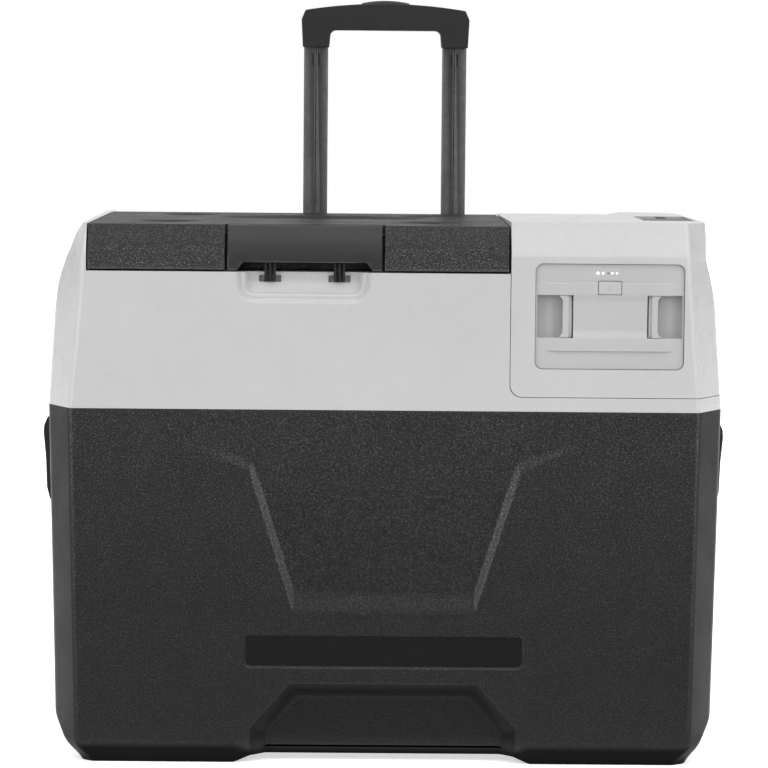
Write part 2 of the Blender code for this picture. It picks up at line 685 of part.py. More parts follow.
def make_latch():
    top_back = 0.0270
    outline = [
        (FRONT + 0.0003, LID_BOTTOM), (FRONT + 0.0003, LID_CREASE), (FRONT + LID_LEAN, LID_TOP - 0.0003),
        (FRONT + top_back - 0.004, LID_TOP - 0.0003), (FRONT + top_back, LID_TOP - 0.0040),
        (FRONT + top_back, LID_TOP - 0.0060), (FRONT + 0.0140, LID_TOP - 0.0060),
        (FRONT + 0.0052, LID_CREASE + 0.002), (FRONT + 0.0052, LID_BOTTOM),
    ]
    paddle = prism("paddle", outline, "X", LATCH_LEFT, LATCH_RIGHT)
    middle = (LATCH_LEFT + LATCH_RIGHT) / 2
    width = LATCH_RIGHT - LATCH_LEFT
    centre = (middle, LATCH_PIN_Y, LATCH_PIN_Z)
    join(paddle, rod("barrel", centre, (1, 0, 0), 0.0050, width, 20))
    cut(paddle, rod("barrel_bore", centre, (1, 0, 0), LATCH_PIN_RADIUS + GAP, width + 0.01, 16))
    scoop = (
        (LATCH_LEFT + 0.009, 0.480), (LATCH_LEFT + 0.016, LID_BOTTOM + 0.0078),
        (LATCH_RIGHT - 0.016, LID_BOTTOM + 0.0078), (LATCH_RIGHT - 0.009, 0.480),
    )
    cut(paddle, prism("scoop", scoop, "Y", FRONT - 0.01, FRONT + 0.0065))
    cut(paddle, blocks("spring_room", (
        (middle - 0.006, LATCH_PIN_Y - 0.0075, 0.5100),
        (middle + 0.006, LATCH_PIN_Y + 0.0075, LID_TOP - 0.0062),
    )))
    finish(paddle, "latch_paddle", "trim_dark")
    make_latch_spring(middle)

    web = blocks("web", (
        (HOOK_X[0] - 0.012, FRONT + 0.0056, 0.4975), (HOOK_X[1] + 0.012, FRONT + 0.0085, 0.5060),
    ))
    for x in HOOK_X:
        low = x - HOOK_WIDTH / 2
        high = x + HOOK_WIDTH / 2
        tongue = blocks("tongue", ((low, FRONT + 0.0056, 0.4750), (high, FRONT + 0.0096, 0.4990)))
        nose = blocks("nose", ((low, FRONT + 0.0090, 0.4765), (high, FRONT + 0.0107, 0.4800)))
        join(web, tongue, nose)
    finish(web, "latch_hooks", "trim_dark")


# ---------------------------------------------------------------- cold side
def make_cabin():
    skin = Vector((CABIN_SKIN, CABIN_SKIN, CABIN_SKIN))
    tub = blocks("tub", (CABIN_LOW - skin, CABIN_HIGH + Vector((CABIN_SKIN, CABIN_SKIN, 0))))
    flange = blocks("flange", (
        (CABIN_LOW.x - 0.0205, CABIN_LOW.y - 0.0175, 0.4818),
        (CABIN_HIGH.x + 0.0205, CABIN_HIGH.y + 0.0145, CABIN_HIGH.z),
    ))
    cut(join(tub, flange), blocks("inside", (CABIN_LOW, CABIN_HIGH + Vector((0, 0, 0.05)))))
    finish(tub, "cabin_liner", "liner_light")

    plate_gap = Vector((CABIN_SKIN + GAP, CABIN_SKIN + GAP, 0))
    plate = Vector((0.0015, 0.0015, 0))
    wrap_low = Vector((CABIN_LOW.x, CABIN_LOW.y, 0.15)) - plate_gap
    wrap_high = Vector((CABIN_HIGH.x, CABIN_HIGH.y, 0.40)) + plate_gap
    band = blocks("band", (wrap_low - plate, wrap_high + plate))
    cut(band, blocks("band_inside", (wrap_low - Vector((0, 0, 0.1)), wrap_high + Vector((0, 0, 0.1)))))
    finish(band, "evaporator", "aluminium")

    foam = blocks("foam_block", ((-0.3000, FRONT + 0.0220, 0.0620), (0.1080, FRONT + 0.3880, 0.4770)))
    space = plate_gap + plate + Vector((GAP, GAP, 0))
    cut(foam, blocks("foam_hollow", (
        CABIN_LOW - space - Vector((0, 0, CABIN_SKIN + GAP)), Vector((*(CABIN_HIGH + space).xy, 0.60)),
    )))
    cut(foam, blocks("foam_arch", (
        (-0.31, ARCH_FRONT - GAP, 0.0), (-ARCH_INNER + GAP, 0.30, ARCH_TOP + GAP),
    )))
    finish(foam, "insulation_foam", "foam")


def make_machinery():
    tray = blocks("tray", ((0.1350, FRONT + 0.0800, 0.0183), (0.2900, FRONT + 0.2700, 0.0200)))
    finish(tray, "compressor_tray", "steel")

    centre = (0.2150, FRONT + 0.1750, 0.1020)
    profile = (
        (0.0, 0.0740), (0.030, 0.0720), (0.054, 0.0600), (0.0640, 0.0400), (0.0640, 0.0040),
        (0.0670, 0.0020), (0.0670, -0.0020), (0.0640, -0.0040), (0.0640, -0.0450), (0.050, -0.0650),
        (0.030, -0.0720), (0.0, -0.0740),
    )
    can = turned("can", profile, centre, (0, 0, 1), 24)
    feet = blocks("feet", ((0.1480, FRONT + 0.1080, 0.0263), (0.2820, FRONT + 0.2420, 0.0303)))
    pads = blocks("pads", *[
        ((x - 0.009, FRONT + depth - 0.009, 0.0203), (x + 0.009, FRONT + depth + 0.009, 0.0290))
        for x in (0.158, 0.272) for depth in (0.118, 0.232)
    ])
    join(can, feet, pads)
    finish(can, "compressor", "black_metal", True)

    coil_low = Vector((0.1350, FRONT + 0.3250, 0.0850))
    coil_high = Vector((0.2700, FRONT + 0.3600, 0.2150))
    coil = blocks("coil", (coil_low, coil_high))
    fins = 12
    pitch = (coil_high.x - coil_low.x - 0.008) / fins
    grooves = []
    for number in range(fins):
        x = coil_low.x + 0.004 + pitch * (number + 0.25)
        grooves.append((
            (x, coil_low.y - 0.01, coil_low.z + 0.006),
            (x + pitch * 0.5, coil_low.y + 0.030, coil_high.z - 0.006),
        ))
    cut(coil, blocks("grooves", *grooves))
    finish(coil, "condenser", "aluminium")

    frame = blocks("fan_square", (
        FAN_CENTRE - Vector((0.0600, 0.0120, 0.0600)), FAN_CENTRE + Vector((0.0600, 0.0120, 0.0600)),
    ))
    cut(frame, rod("fan_hole", FAN_CENTRE, (0, 1, 0), FAN_RADIUS + 0.002, 0.05, 32))
    struts = blocks(
        "struts",
        (FAN_CENTRE + Vector((-0.058, 0.0090, -0.003)), FAN_CENTRE + Vector((0.058, 0.0120, 0.003))),
        (FAN_CENTRE + Vector((-0.003, 0.0092, -0.058)), FAN_CENTRE + Vector((0.003, 0.0118, 0.058))),
    )
    join(frame, struts, rod("motor_plate", FAN_CENTRE + Vector((0, 0.0105, 0)), (0, 1, 0), 0.018, 0.0034, 20))
    finish(frame, "fan_frame", "trim_dark")

    rotor = rod("hub", FAN_CENTRE - Vector((0, 0.0015, 0)), (0, 1, 0), 0.0190, 0.0170, 24)
    for number in range(FAN_BLADES):
        blade = blocks("blade", ((0.0150, -0.0008, -0.0100), (FAN_RADIUS - 0.001, 0.0008, 0.0100)))
        turn = Matrix.Rotation(math.tau * number / FAN_BLADES, 4, "Y")
        place = Matrix.Translation(FAN_CENTRE - Vector((0, 0.0015, 0)))
        blade.data.transform(place @ turn @ Matrix.Rotation(math.radians(42), 4, "X"))
        join(rotor, blade)
    finish(rotor, "fan_rotor", "trim_dark")

    controller = blocks("box", ((0.1500, FRONT + 0.0250, 0.0600), (0.2800, FRONT + 0.0700, 0.1400)))
    ribs = [0.1560 + 0.012 * number for number in range(10)]
    cut(controller, blocks("ribs", *[
        ((x, FRONT + 0.0150, 0.066), (x + 0.005, FRONT + 0.0350, 0.134)) for x in ribs
    ]))
    finish(controller, "motor_controller", "aluminium")

    drier = turned(
        "drier",
        ((0.0, 0.045), (0.004, 0.044), (0.0095, 0.033), (0.0095, -0.033), (0.004, -0.044), (0.0, -0.045)),
        (0.3020, FRONT + 0.3050, 0.1500), (0, 0, 1), 16,
    )
    finish(drier, "filter_drier", "copper", True)

    out = bend((
        (0.2150, FRONT + 0.1750, 0.1850), (0.2150, FRONT + 0.1750, 0.2400),
        (0.2150, FRONT + 0.3420, 0.2400), (0.2150, FRONT + 0.3420, 0.2160),
    ), 0.012)
    pipe("discharge_pipe", out, 0.0030, "copper")
    back = bend((
        (0.1900, FRONT + 0.1750, 0.1830), (0.1900, FRONT + 0.1750, 0.2600), (0.1120, FRONT + 0.1750, 0.2600),
    ), 0.012)
    pipe("suction_pipe", back, 0.0040, "copper")

    board = blocks("board", ((0.2600, FRONT + 0.1050, 0.5080), (0.3050, FRONT + 0.2340, 0.5096)))
    finish(board, "control_board", "board_green")

    inlet = blocks(
        "inlet",
        ((0.2100, BACK - 0.0350, 0.4000), (0.2500, BACK - 0.0003, 0.4300)),
    )
    cut(inlet, rod("inlet_hole", (0.2300, BACK, 0.4150), (0, 1, 0), 0.0110, 0.050, 24))
    join(inlet, rod("inlet_pole", (0.2300, BACK - 0.0200, 0.4150), (0, 1, 0), 0.0035, 0.028, 12))
    finish(inlet, "dc_inlet", "trim_dark")


# ---------------------------------------------------------------- battery
def make_battery():
    shell = prism(
        "case", rounded((BATTERY_LEFT, BATTERY_BOTTOM), (BATTERY_RIGHT, BATTERY_TOP), BATTERY_CORNER),
        "Y", FRONT + 0.0003, FRONT + BATTERY_DEPTH,
    )
    finger_back = FRONT + GRASP_DEPTH
    hidden_left = PLATE_LEFT + TAB_TRAVEL + 0.0010
    hidden_right = PLATE_RIGHT - TAB_TRAVEL - 0.0010
    cut(
        shell,
        blocks(
            "finger_hollows",
            ((BATTERY_LEFT + 0.0015, FRONT - 0.01, GRASP_BOTTOM), (PLATE_LEFT, finger_back, GRASP_TOP)),
            ((PLATE_RIGHT, FRONT - 0.01, GRASP_BOTTOM), (BATTERY_RIGHT - 0.0015, finger_back, GRASP_TOP)),
        ),
        blocks(
            "tab_tracks",
            ((PLATE_LEFT - 0.005, TAB_Y - GAP, GRASP_BOTTOM), (hidden_left, finger_back, GRASP_TOP)),
            ((hidden_right, TAB_Y - GAP, GRASP_BOTTOM), (PLATE_RIGHT + 0.005, finger_back, GRASP_TOP)),
        ),
        blocks("cell_room", ((0.1500, FRONT + 0.0270, 0.3970), (0.2880, FRONT + 0.0920, 0.4900))),
        blocks("button_well", ((0.2068, FRONT - 0.01, 0.4648), (0.2302, FRONT + 0.0060, 0.4786))),
        blocks("lamp_slot", ((0.2050, FRONT - 0.01, 0.4845), (0.2280, FRONT + 0.0040, 0.4875))),
        blocks("contact_room", ((0.2000, FRONT + 0.0900, 0.4350), (0.2380, FRONT + 0.100, 0.4510))),
    )
    finish(shell, "battery_case", "body_light")

    cells_outline = rounded((0.1510, 0.3980), (0.2870, 0.4890), 0.010)
    cells = prism("cells", cells_outline, "Y", FRONT + 0.0280, FRONT + 0.0850)
    finish(cells, "battery_cells", "cell_blue")

    for name, outer, side in (("left", PLATE_LEFT - 0.0013, 1), ("right", PLATE_RIGHT + 0.0013, -1)):
        edges = sorted((outer, outer - side * TAB_WIDTH))
        tab = blocks("tab", (
            (edges[0], TAB_Y, GRASP_BOTTOM + GAP), (edges[1], finger_back - 0.0010, GRASP_TOP - GAP),
        ))
        finish(tab, f"battery_tab_{name}", "body_light")

    button = blocks("button", ((0.2074, FRONT + 0.0004, 0.4654), (0.2296, FRONT + 0.0040, 0.4780)))
    finish(button, "battery_button", "body_light")
    lamps = blocks("lamps", ((0.2053, FRONT + 0.0008, 0.4848), (0.2277, FRONT + 0.0037, 0.4872)))
    finish(lamps, "battery_leds", "lamp_white")

    bay = blocks("bay", (
        (BATTERY_LEFT - 0.0028, FRONT + 0.0070, BATTERY_BOTTOM - 0.0026),
        (BATTERY_RIGHT + 0.0028, FRONT + 0.1040, BATTERY_TOP + 0.0028),
    ))
    cut(bay, blocks("bay_inside", (
        (BATTERY_LEFT - 0.0008, FRONT - 0.01, BATTERY_BOTTOM - 0.0006),
        (BATTERY_RIGHT + 0.0008, FRONT + 0.1020, BATTERY_TOP + 0.0008),
    )))
    finish(bay, "battery_bay", "trim_dark")
    plug = blocks("plug", ((0.2010, FRONT + 0.0930, 0.4360), (0.2370, FRONT + 0.1017, 0.4500)))
    finish(plug, "battery_connector", "trim_dark")


def make_panel():
    bezel = blocks("bezel", (PANEL_LOW, PANEL_HIGH))
    well = blocks("well", (
        (PANEL_LOW.x + PANEL_RIM, PANEL_LOW.y + PANEL_RIM, PANEL_LOW.z + 0.0035),
        (PANEL_HIGH.x - PANEL_RIM, PANEL_HIGH.y - PANEL_RIM, 0.60),
    ))
    holes = [
        rod("button_hole", (PANEL_BUTTON_X, y, 0.5270), (0, 0, 1), PANEL_BUTTON_RADIUS + GAP, 0.02, 20)
        for y in PANEL_BUTTON_Y
    ]
    cut(bezel, well, *holes)
    finish(bezel, "display_bezel", "body_light")
    lens = blocks("lens", (
        (PANEL_LOW.x + PANEL_RIM + GAP, FRONT + LENS_DEPTH[0], 0.5273),
        (PANEL_HIGH.x - PANEL_RIM - GAP, FRONT + LENS_DEPTH[1], 0.5336),
    ))
    finish(lens, "display_lens", "screen_black")
    for number, y in enumerate(PANEL_BUTTON_Y, 1):
        key = rod("key", (PANEL_BUTTON_X, y, 0.5273), (0, 0, 1), PANEL_BUTTON_RADIUS, 0.0126, 20)
        finish(key, f"panel_button_{number}", "trim_dark", True)


# ---------------------------------------------------------------- pull handle
def tube_box(x, thickness_y, width, bottom, top):
    return (
        (x - width / 2, TUBE_Y - thickness_y / 2, bottom),
        (x + width / 2, TUBE_Y + thickness_y / 2, top),
    )


def make_pull_handle():
    for name, x in (("left", -TUBE_X), ("right", TUBE_X)):
        outer = tube_box(x, TUBE_THICKNESS + 0.0036, TUBE_WIDTH + 0.0036, 0.0600, 0.4777)
        bore = tube_box(x, TUBE_THICKNESS + 0.0008, TUBE_WIDTH + 0.0008, 0.05, 0.50)
        sleeve = blocks("sleeve", outer)
        cut(sleeve, blocks("sleeve_bore", bore))
        finish(sleeve, f"handle_sleeve_{name}", "aluminium")
        half = TUBE_WIDTH / 2
        deep = TUBE_THICKNESS / 2
        outline = (
            (x - half, TUBE_Y - deep + 0.002), (x - half + 0.002, TUBE_Y - deep), (x - 0.0012, TUBE_Y - deep),
            (x, TUBE_Y - deep + 0.0014), (x + 0.0012, TUBE_Y - deep), (x + half - 0.002, TUBE_Y - deep),
            (x + half, TUBE_Y - deep + 0.002), (x + half, TUBE_Y + deep), (x - half, TUBE_Y + deep),
        )
        tube = prism("tube", outline, "Z", TUBE_BOTTOM, TUBE_TOP)
        cut(tube, blocks("tube_bore", tube_box(x, TUBE_THICKNESS - 0.0050, TUBE_WIDTH - 0.0030, 0.10, 0.80)))
        finish(tube, f"handle_tube_{name}", "tube_dark")

    bezel = blocks("bezel", ((-0.0977, FRONT + 0.3855, 0.4780), (0.0977, FRONT + 0.4167, 0.4820)))
    for x in (-TUBE_X, TUBE_X):
        hole = tube_box(x, TUBE_THICKNESS + 0.0010, TUBE_WIDTH + 0.0010, 0.40, 0.50)
        cut(bezel, blocks("bezel_hole", hole))
    finish(bezel, "handle_bezel", "trim_dark")

    inner = 0.0600
    outline = [(-0.0890, GRIP_LEG_BOTTOM), (-0.0905, 0.7380)]
    arch_steps = 8
    for step in range(arch_steps + 1):
        x = -0.0860 + 0.1720 * step / arch_steps
        outline.append((x, 0.7480 + 0.0070 * (1 - (x / 0.0860) ** 2)))
    outline += [(0.0905, 0.7380), (0.0890, GRIP_LEG_BOTTOM), (inner, GRIP_LEG_BOTTOM)]
    outline += [(inner, 0.7210), (inner - 0.006, 0.7270), (-inner + 0.006, 0.7270), (-inner, 0.7210)]
    outline += [(-inner, GRIP_LEG_BOTTOM)]
    halves = (("grip_front", GRIP_FRONT_Y, GRIP_SPLIT_Y), ("grip_rear", GRIP_SPLIT_Y + GAP, GRIP_BACK_Y))
    for name, low, high in halves:
        half = prism("half", outline, "Y", low, high)
        cut(
            half,
            blocks("sockets", *[
                tube_box(x, TUBE_THICKNESS + 0.0006, TUBE_WIDTH + 0.0006, 0.70, TUBE_TOP + 0.0005)
                for x in (-TUBE_X, TUBE_X)
            ]),
            blocks("button_room", ((-0.0270, FRONT + 0.3936, 0.7400), (0.0270, FRONT + 0.4094, 0.80))),
        )
        finish(half, name, "trim_dark")

    button = blocks("button", ((-0.0265, FRONT + 0.3940, 0.7450), (0.0265, FRONT + 0.4090, 0.7585)))
    finish(button, "grip_button", "trim_dark")


# ---------------------------------------------------------------- wheels
def make_wheels():
    half = 0.3240
    profile = ((0.0, half), (0.0065, half - 0.001), (0.0065, half - 0.004), (AXLE_RADIUS, half - 0.004))
    profile += tuple((radius, -height) for radius, height in profile[::-1])
    finish(turned("axle", profile, (0, WHEEL_Y, WHEEL_RADIUS), (1, 0, 0), 16), "wheel_axle", "steel", True)
    rim = WHEEL_RADIUS - 0.014
    half = WHEEL_WIDTH / 2
    tyre_profile = (
        (rim, half - 0.003), (WHEEL_RADIUS - 0.004, half - 0.001), (WHEEL_RADIUS - 0.001, half - 0.004),
        (WHEEL_RADIUS, 0.0), (WHEEL_RADIUS - 0.001, -half + 0.004), (WHEEL_RADIUS - 0.004, -half + 0.001),
        (rim, -half + 0.003), (rim, half - 0.003),
    )
    bore = AXLE_RADIUS + GAP
    hub_profile = (
        (bore, half), (0.010, half), (0.0120, half - 0.004), (rim - 0.006, half - 0.004),
        (rim - GAP, half - 0.002), (rim - GAP, -half + 0.002), (rim - 0.006, -half + 0.004),
        (0.0120, -half + 0.004), (0.010, -half), (bore, -half), (bore, half),
    )
    for name, side in (("left", -1), ("right", 1)):
        centre = (side * WHEEL_X, WHEEL_Y, WHEEL_RADIUS)
        finish(turned("tyre", tyre_profile, centre, (1, 0, 0), 40), f"wheel_tyre_{name}", "tyre", True)
        finish(turned("hub", hub_profile, centre, (1, 0, 0), 32), f"wheel_hub_{name}", "trim_dark", True)


# ---------------------------------------------------------------- assembly
make_lower_shell()
make_side_handle("side_handle_left", -1, SIDE_HANDLE_INNER[0])
make_side_handle("side_handle_right", 1, SIDE_HANDLE_INNER[1])
louvre(
    "vent_grille_side",
    Vector((0.3230, FRONT + 0.1203, 0.0953)), Vector((0.3280, FRONT + 0.2597, 0.1997)), "X", 8,
)
louvre(
    "vent_grille_rear",
    Vector((0.1503, BACK - 0.0040, 0.0903)), Vector((0.2797, BACK - 0.0003, 0.2147)), "Y", 9,
)
make_upper_shell()
make_machine_cover()
make_lid()
for hinge_name, hinge_x in zip(("left", "right"), HINGE_X):
    make_hinge(hinge_name, hinge_x)
make_latch()
make_cabin()
make_machinery()
make_battery()
make_panel()
make_pull_handle()
make_wheels()
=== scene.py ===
import math

import bmesh
import bpy
import numpy as np
from mathutils import Matrix, Vector
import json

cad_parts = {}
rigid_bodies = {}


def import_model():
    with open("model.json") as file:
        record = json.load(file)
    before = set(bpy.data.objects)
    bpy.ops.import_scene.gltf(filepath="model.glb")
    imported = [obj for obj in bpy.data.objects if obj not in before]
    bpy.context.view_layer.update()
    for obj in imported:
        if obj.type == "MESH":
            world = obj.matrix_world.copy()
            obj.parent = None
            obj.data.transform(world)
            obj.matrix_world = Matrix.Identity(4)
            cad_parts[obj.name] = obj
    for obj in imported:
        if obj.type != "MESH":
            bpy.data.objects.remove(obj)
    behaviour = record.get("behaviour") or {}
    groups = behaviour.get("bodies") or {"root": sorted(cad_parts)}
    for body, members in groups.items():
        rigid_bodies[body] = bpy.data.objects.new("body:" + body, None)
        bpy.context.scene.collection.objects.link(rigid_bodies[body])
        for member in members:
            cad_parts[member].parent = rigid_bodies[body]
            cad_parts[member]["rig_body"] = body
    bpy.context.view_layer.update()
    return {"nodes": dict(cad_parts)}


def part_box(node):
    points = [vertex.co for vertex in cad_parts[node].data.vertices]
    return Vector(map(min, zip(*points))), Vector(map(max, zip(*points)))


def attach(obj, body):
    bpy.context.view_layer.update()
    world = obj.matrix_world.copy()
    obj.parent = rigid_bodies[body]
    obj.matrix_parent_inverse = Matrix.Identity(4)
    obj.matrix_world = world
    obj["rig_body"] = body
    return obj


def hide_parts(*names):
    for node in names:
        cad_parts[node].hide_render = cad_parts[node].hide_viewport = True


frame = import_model()

# ---------------------------------------------------------------- sizes, from the frame
base_low, base_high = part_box("lower_shell")
lid_low, lid_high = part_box("lid_cover")
cover_low, cover_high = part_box("machine_cover")
latch_low, latch_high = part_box("latch_paddle")
battery_low, battery_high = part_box("battery_case")
gasket_low, gasket_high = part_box("lid_gasket")

FRONT = base_low.y                # plane of the front face
BACK = base_high.y
SEAM = base_high.z                # joint between the dark base and the light upper body
DECK = gasket_low.z - 0.0003      # ledge that the lid closes on
GAP = 0.0003
WALL = 0.004

LID_TOP = lid_high.z
LID_BOTTOM = lid_low.z
LID_CREASE = LID_BOTTOM + 0.0225
LID_LEAN = 0.012
COVER_TOP = cover_high.z
COVER_LEFT = cover_low.x
COVER_BOTTOM = cover_low.z
COVER_CORNER = 0.012

# Half widths of the body's plan by height: sides left and right, flat front left and right, then the
# depth of the corner chamfer and how far the front and the rear stand back.
BASE_PLAN = (
    (0.0, 0.2955, 0.3, 0.2835, 0.285, 0.022, 0.012, 0.006),
    (0.018, 0.313, 0.315, 0.3005, 0.302, 0.022, 0.0, 0.0),
    (0.04, 0.325, 0.3275, 0.301, 0.3028, 0.047, 0.0, 0.0),
    (SEAM, 0.3318, 0.3336, 0.3078, 0.3078, 0.047, 0.0, 0.0),
)
UPPER_PLAN = (
    (SEAM + GAP, 0.3318, 0.3336, 0.3078, 0.3078, 0.047, 0.0, 0.0),
    (0.435, 0.3264, 0.3272, 0.2995, 0.3005, 0.047, 0.0, 0.0),
    (0.453, 0.325, 0.326, 0.298, 0.299, 0.047, 0.0, 0.0),
    (0.473, 0.3222, 0.3228, 0.2965, 0.2975, 0.047, 0.0, 0.0),
    (0.497, 0.3142, 0.3168, 0.2962, 0.2965, 0.047, 0.0, 0.0),
    (0.5025, 0.3115, 0.3166, 0.2955, 0.296, 0.047, 0.0, 0.0),
    (0.52, 0.3045, 0.316, 0.2945, 0.2948, 0.044, 0.0067, 0.0032),
    (COVER_TOP, 0.2945, 0.3145, 0.2935, 0.2935, 0.042, 0.0125, 0.006),
)
CORNER_RADII = (0.007, 0.007, 0.028, 0.028, 0.01, 0.01, 0.028, 0.028)

BASE_SHIFT = 0.001               # the moulded pattern of the base sits a little right of the middle
FOOT_INNER = 0.129               # where the hollow between the front feet starts
FOOT_OUTER = 0.147
FOOT_RISE = 0.007
NOTCH_TOP = 0.081
NOTCH_TOP_HALF = 0.0919
NOTCH_SIDE = (0.131, 0.0363)
NOTCH_BEVEL = 0.016
NOTCH_DEPTH = 0.015
STRIP_HALF = 0.1375
STRIP_MIDDLE = 0.1123
STRIP_HALF_HEIGHT = 0.0167
STRIP_DEPTH = 0.0026
EMBOSS_BOTTOM = 0.147
EMBOSS_HALF = 0.089
EMBOSS_DEPTH = 0.0055
EMBOSS_BEND = (0.134, 0.29)
EMBOSS_END = (0.215, 0.323)

TAB_BACK = FRONT + 0.0148         # how far back the battery's squeeze tabs reach

RECESS_LEFT = -0.145             # hollow below the latch
RECESS_RIGHT = -0.014
RECESS_BOTTOM = 0.455
RECESS_DEPTH = 0.011


# ---------------------------------------------------------------- shape helpers
def link(name, mesh):
    item = bpy.data.objects.new(name, mesh)
    bpy.context.scene.collection.objects.link(item)
    return item


def from_bmesh(name, build):
    bmesh.ops.recalc_face_normals(build, faces=build.faces)
    mesh = bpy.data.meshes.new(name)
    build.to_mesh(mesh)
    build.free()
    return link(name, mesh)


def from_faces(name, points, faces):
    mesh = bpy.data.meshes.new(name)
    mesh.from_pydata([tuple(point) for point in points], [], faces)
    build = bmesh.new()
    build.from_mesh(mesh)
    bpy.data.meshes.remove(mesh)
    return from_bmesh(name, build)


def skin(name, rows, bottom=None):
    """A closed skin through rings of points, with flat ends, or with the given faces at the first ring."""
    count = len(rows[0])
    points = [point for row in rows for point in row]
    faces = []
    for low in range(0, len(points) - count, count):
        for step in range(count):
            following = (step + 1) % count
            faces.append((low + step, low + following, low + count + following, low + count + step))
    faces += bottom or [tuple(range(count))[::-1]]
    faces.append(tuple(range(len(points) - count, len(points))))
    return from_faces(name, points, faces)


def blocks(name, *corners):
    """One or more boxes, each given by its lowest and highest corner."""
    build = bmesh.new()
    for low, high in corners:
        low = Vector(low)
        high = Vector(high)
        place = Matrix.Translation((low + high) / 2) @ Matrix.Diagonal((*(high - low), 1.0))
        bmesh.ops.create_cube(build, size=1.0, matrix=place)
    return from_bmesh(name, build)


def turn_to(axis):
    return Vector((0, 0, 1)).rotation_difference(Vector(axis)).to_matrix().to_4x4()


def rod(name, centre, axis, radius, length, sides=48):
    build = bmesh.new()
    bmesh.ops.create_cone(
        build, cap_ends=True, segments=sides, radius1=radius, radius2=radius, depth=length,
        matrix=Matrix.Translation(Vector(centre)) @ turn_to(axis),
    )
    return from_bmesh(name, build)


def place_on(axis, first, second, along):
    """A point of a flat outline, at a place along the axis that the outline is drawn across."""
    if axis == "X":
        return (along, first, second)
    if axis == "Y":
        return (first, along, second)
    return (first, second, along)


def prism(name, outline, axis, low, high):
    """A flat outline, in YZ, XZ or XY, given a thickness along the axis."""
    return skin(name, [[place_on(axis, *point, along) for point in outline] for along in (low, high)])


def turned(name, profile, centre, axis, sides=64):
    """A closed profile of (radius, height) pairs turned about an axis."""
    place = Matrix.Translation(Vector(centre)) @ turn_to(axis)
    count = len(profile)
    points = []
    for side in range(sides):
        angle = math.tau * side / sides
        for radius, height in profile:
            points.append(place @ Vector((radius * math.cos(angle), radius * math.sin(angle), height)))
    faces = []
    for side in range(sides):
        here = side * count
        there = (side + 1) % sides * count
        for step in range(count):
            following = (step + 1) % count
            faces.append((here + step, here + following, there + following, there + step))
    return from_faces(name, points, faces)


def arcs(corners, radii, steps=5):
    """The corners of a closed outline as round arcs, one list of points for each corner."""
    found = []
    for number, (corner, radius) in enumerate(zip(corners, radii)):
        corner = Vector(corner)
        before = Vector(corners[number - 1]) - corner
        after = Vector(corners[(number + 1) % len(corners)]) - corner
        if radius <= 0:
            found.append([corner])
            continue
        half = before.angle(after) / 2
        reach = min(radius / math.tan(half), 0.46 * before.length, 0.46 * after.length)
        radius = reach * math.tan(half)
        middle = corner + (before.normalized() + after.normalized()).normalized() * radius / math.sin(half)
        start = corner + before.normalized() * reach - middle
        end = corner + after.normalized() * reach - middle
        turn = start.angle_signed(end)
        found.append([
            middle + Matrix.Rotation(-turn * step / steps, 2) @ start for step in range(steps + 1)
        ])
    return found


def rounded(corners, radii, steps=5):
    """A closed outline with round corners."""
    if isinstance(radii, (int, float)):
        radii = [radii] * len(corners)
    return [tuple(point) for arc in arcs(corners, radii, steps) for point in arc]


def box_outline(low, high, inset=0.0):
    left, bottom = low[0] + inset, low[1] + inset
    right, top = high[0] - inset, high[1] - inset
    return [(left, bottom), (right, bottom), (right, top), (left, top)]


def spread(*marks):
    """Numbers from mark to mark: (start, end, largest step) for each stretch."""
    found = [marks[0][0]]
    for start, end, step in marks:
        count = max(1, round((end - start) / step))
        found += [start + (end - start) * number / count for number in range(1, count + 1)]
    return found


def smooth_step(value):
    value = min(1.0, max(0.0, value))
    return value * value * (3 - 2 * value)


def ramp(value):
    """A straight slope with softly rounded ends."""
    value = min(1.0, max(0.0, value))
    return 0.5 * value + 0.5 * smooth_step(value)


def beyond(point, start, end):
    """Distance of a point to the left of the line from start to end."""
    run = end[0] - start[0]
    rise = end[1] - start[1]
    return (run * (point[1] - start[1]) - rise * (point[0] - start[0])) / math.hypot(run, rise)


def inside_box(x, z, middle, half_width, half_height, radius):
    """How far a point lies inside a rectangle with round corners."""
    dx = abs(x - middle[0]) - half_width + radius
    dz = abs(z - middle[1]) - half_height + radius
    return radius - math.hypot(max(dx, 0), max(dz, 0)) - min(max(dx, dz), 0)


# ---------------------------------------------------------------- modifiers
def bake(item):
    """Make an object's modifiers part of its mesh."""
    graph = bpy.context.evaluated_depsgraph_get()
    mesh = bpy.data.meshes.new_from_object(item.evaluated_get(graph))
    item.modifiers.clear()
    item.data = mesh
    return item


def change(item, operation, others):
    for other in others:
        boolean = item.modifiers.new(operation, "BOOLEAN")
        boolean.operation = operation
        boolean.object = other
        boolean.solver = "EXACT"
    bake(item)
    for other in others:
        bpy.data.objects.remove(other)
    return item


def cut(item, *others):
    return change(item, "DIFFERENCE", others)


def join(item, *others):
    return change(item, "UNION", others)


def keep(item, other):
    return change(item, "INTERSECT", [other])


def tidy(item, flat_angle=0.2):
    """Clear out the doubled points and needless edges that cutting leaves."""
    build = bmesh.new()
    build.from_mesh(item.data)
    bmesh.ops.remove_doubles(build, verts=build.verts, dist=0.00001)
    bmesh.ops.dissolve_degenerate(build, edges=build.edges, dist=0.00001)
    if flat_angle:
        bmesh.ops.dissolve_limit(
            build, angle_limit=math.radians(flat_angle), verts=build.verts, edges=build.edges,
        )
    build.to_mesh(item.data)
    build.free()
    return item


def soften(item, width, segments=3, angle=32):
    """Round the edges that are sharper than the angle."""
    bevel = item.modifiers.new("Round", "BEVEL")
    bevel.width = width
    bevel.segments = segments
    bevel.limit_method = "ANGLE"
    bevel.angle_limit = math.radians(angle)
    bevel.use_clamp_overlap = True
    return bake(item)


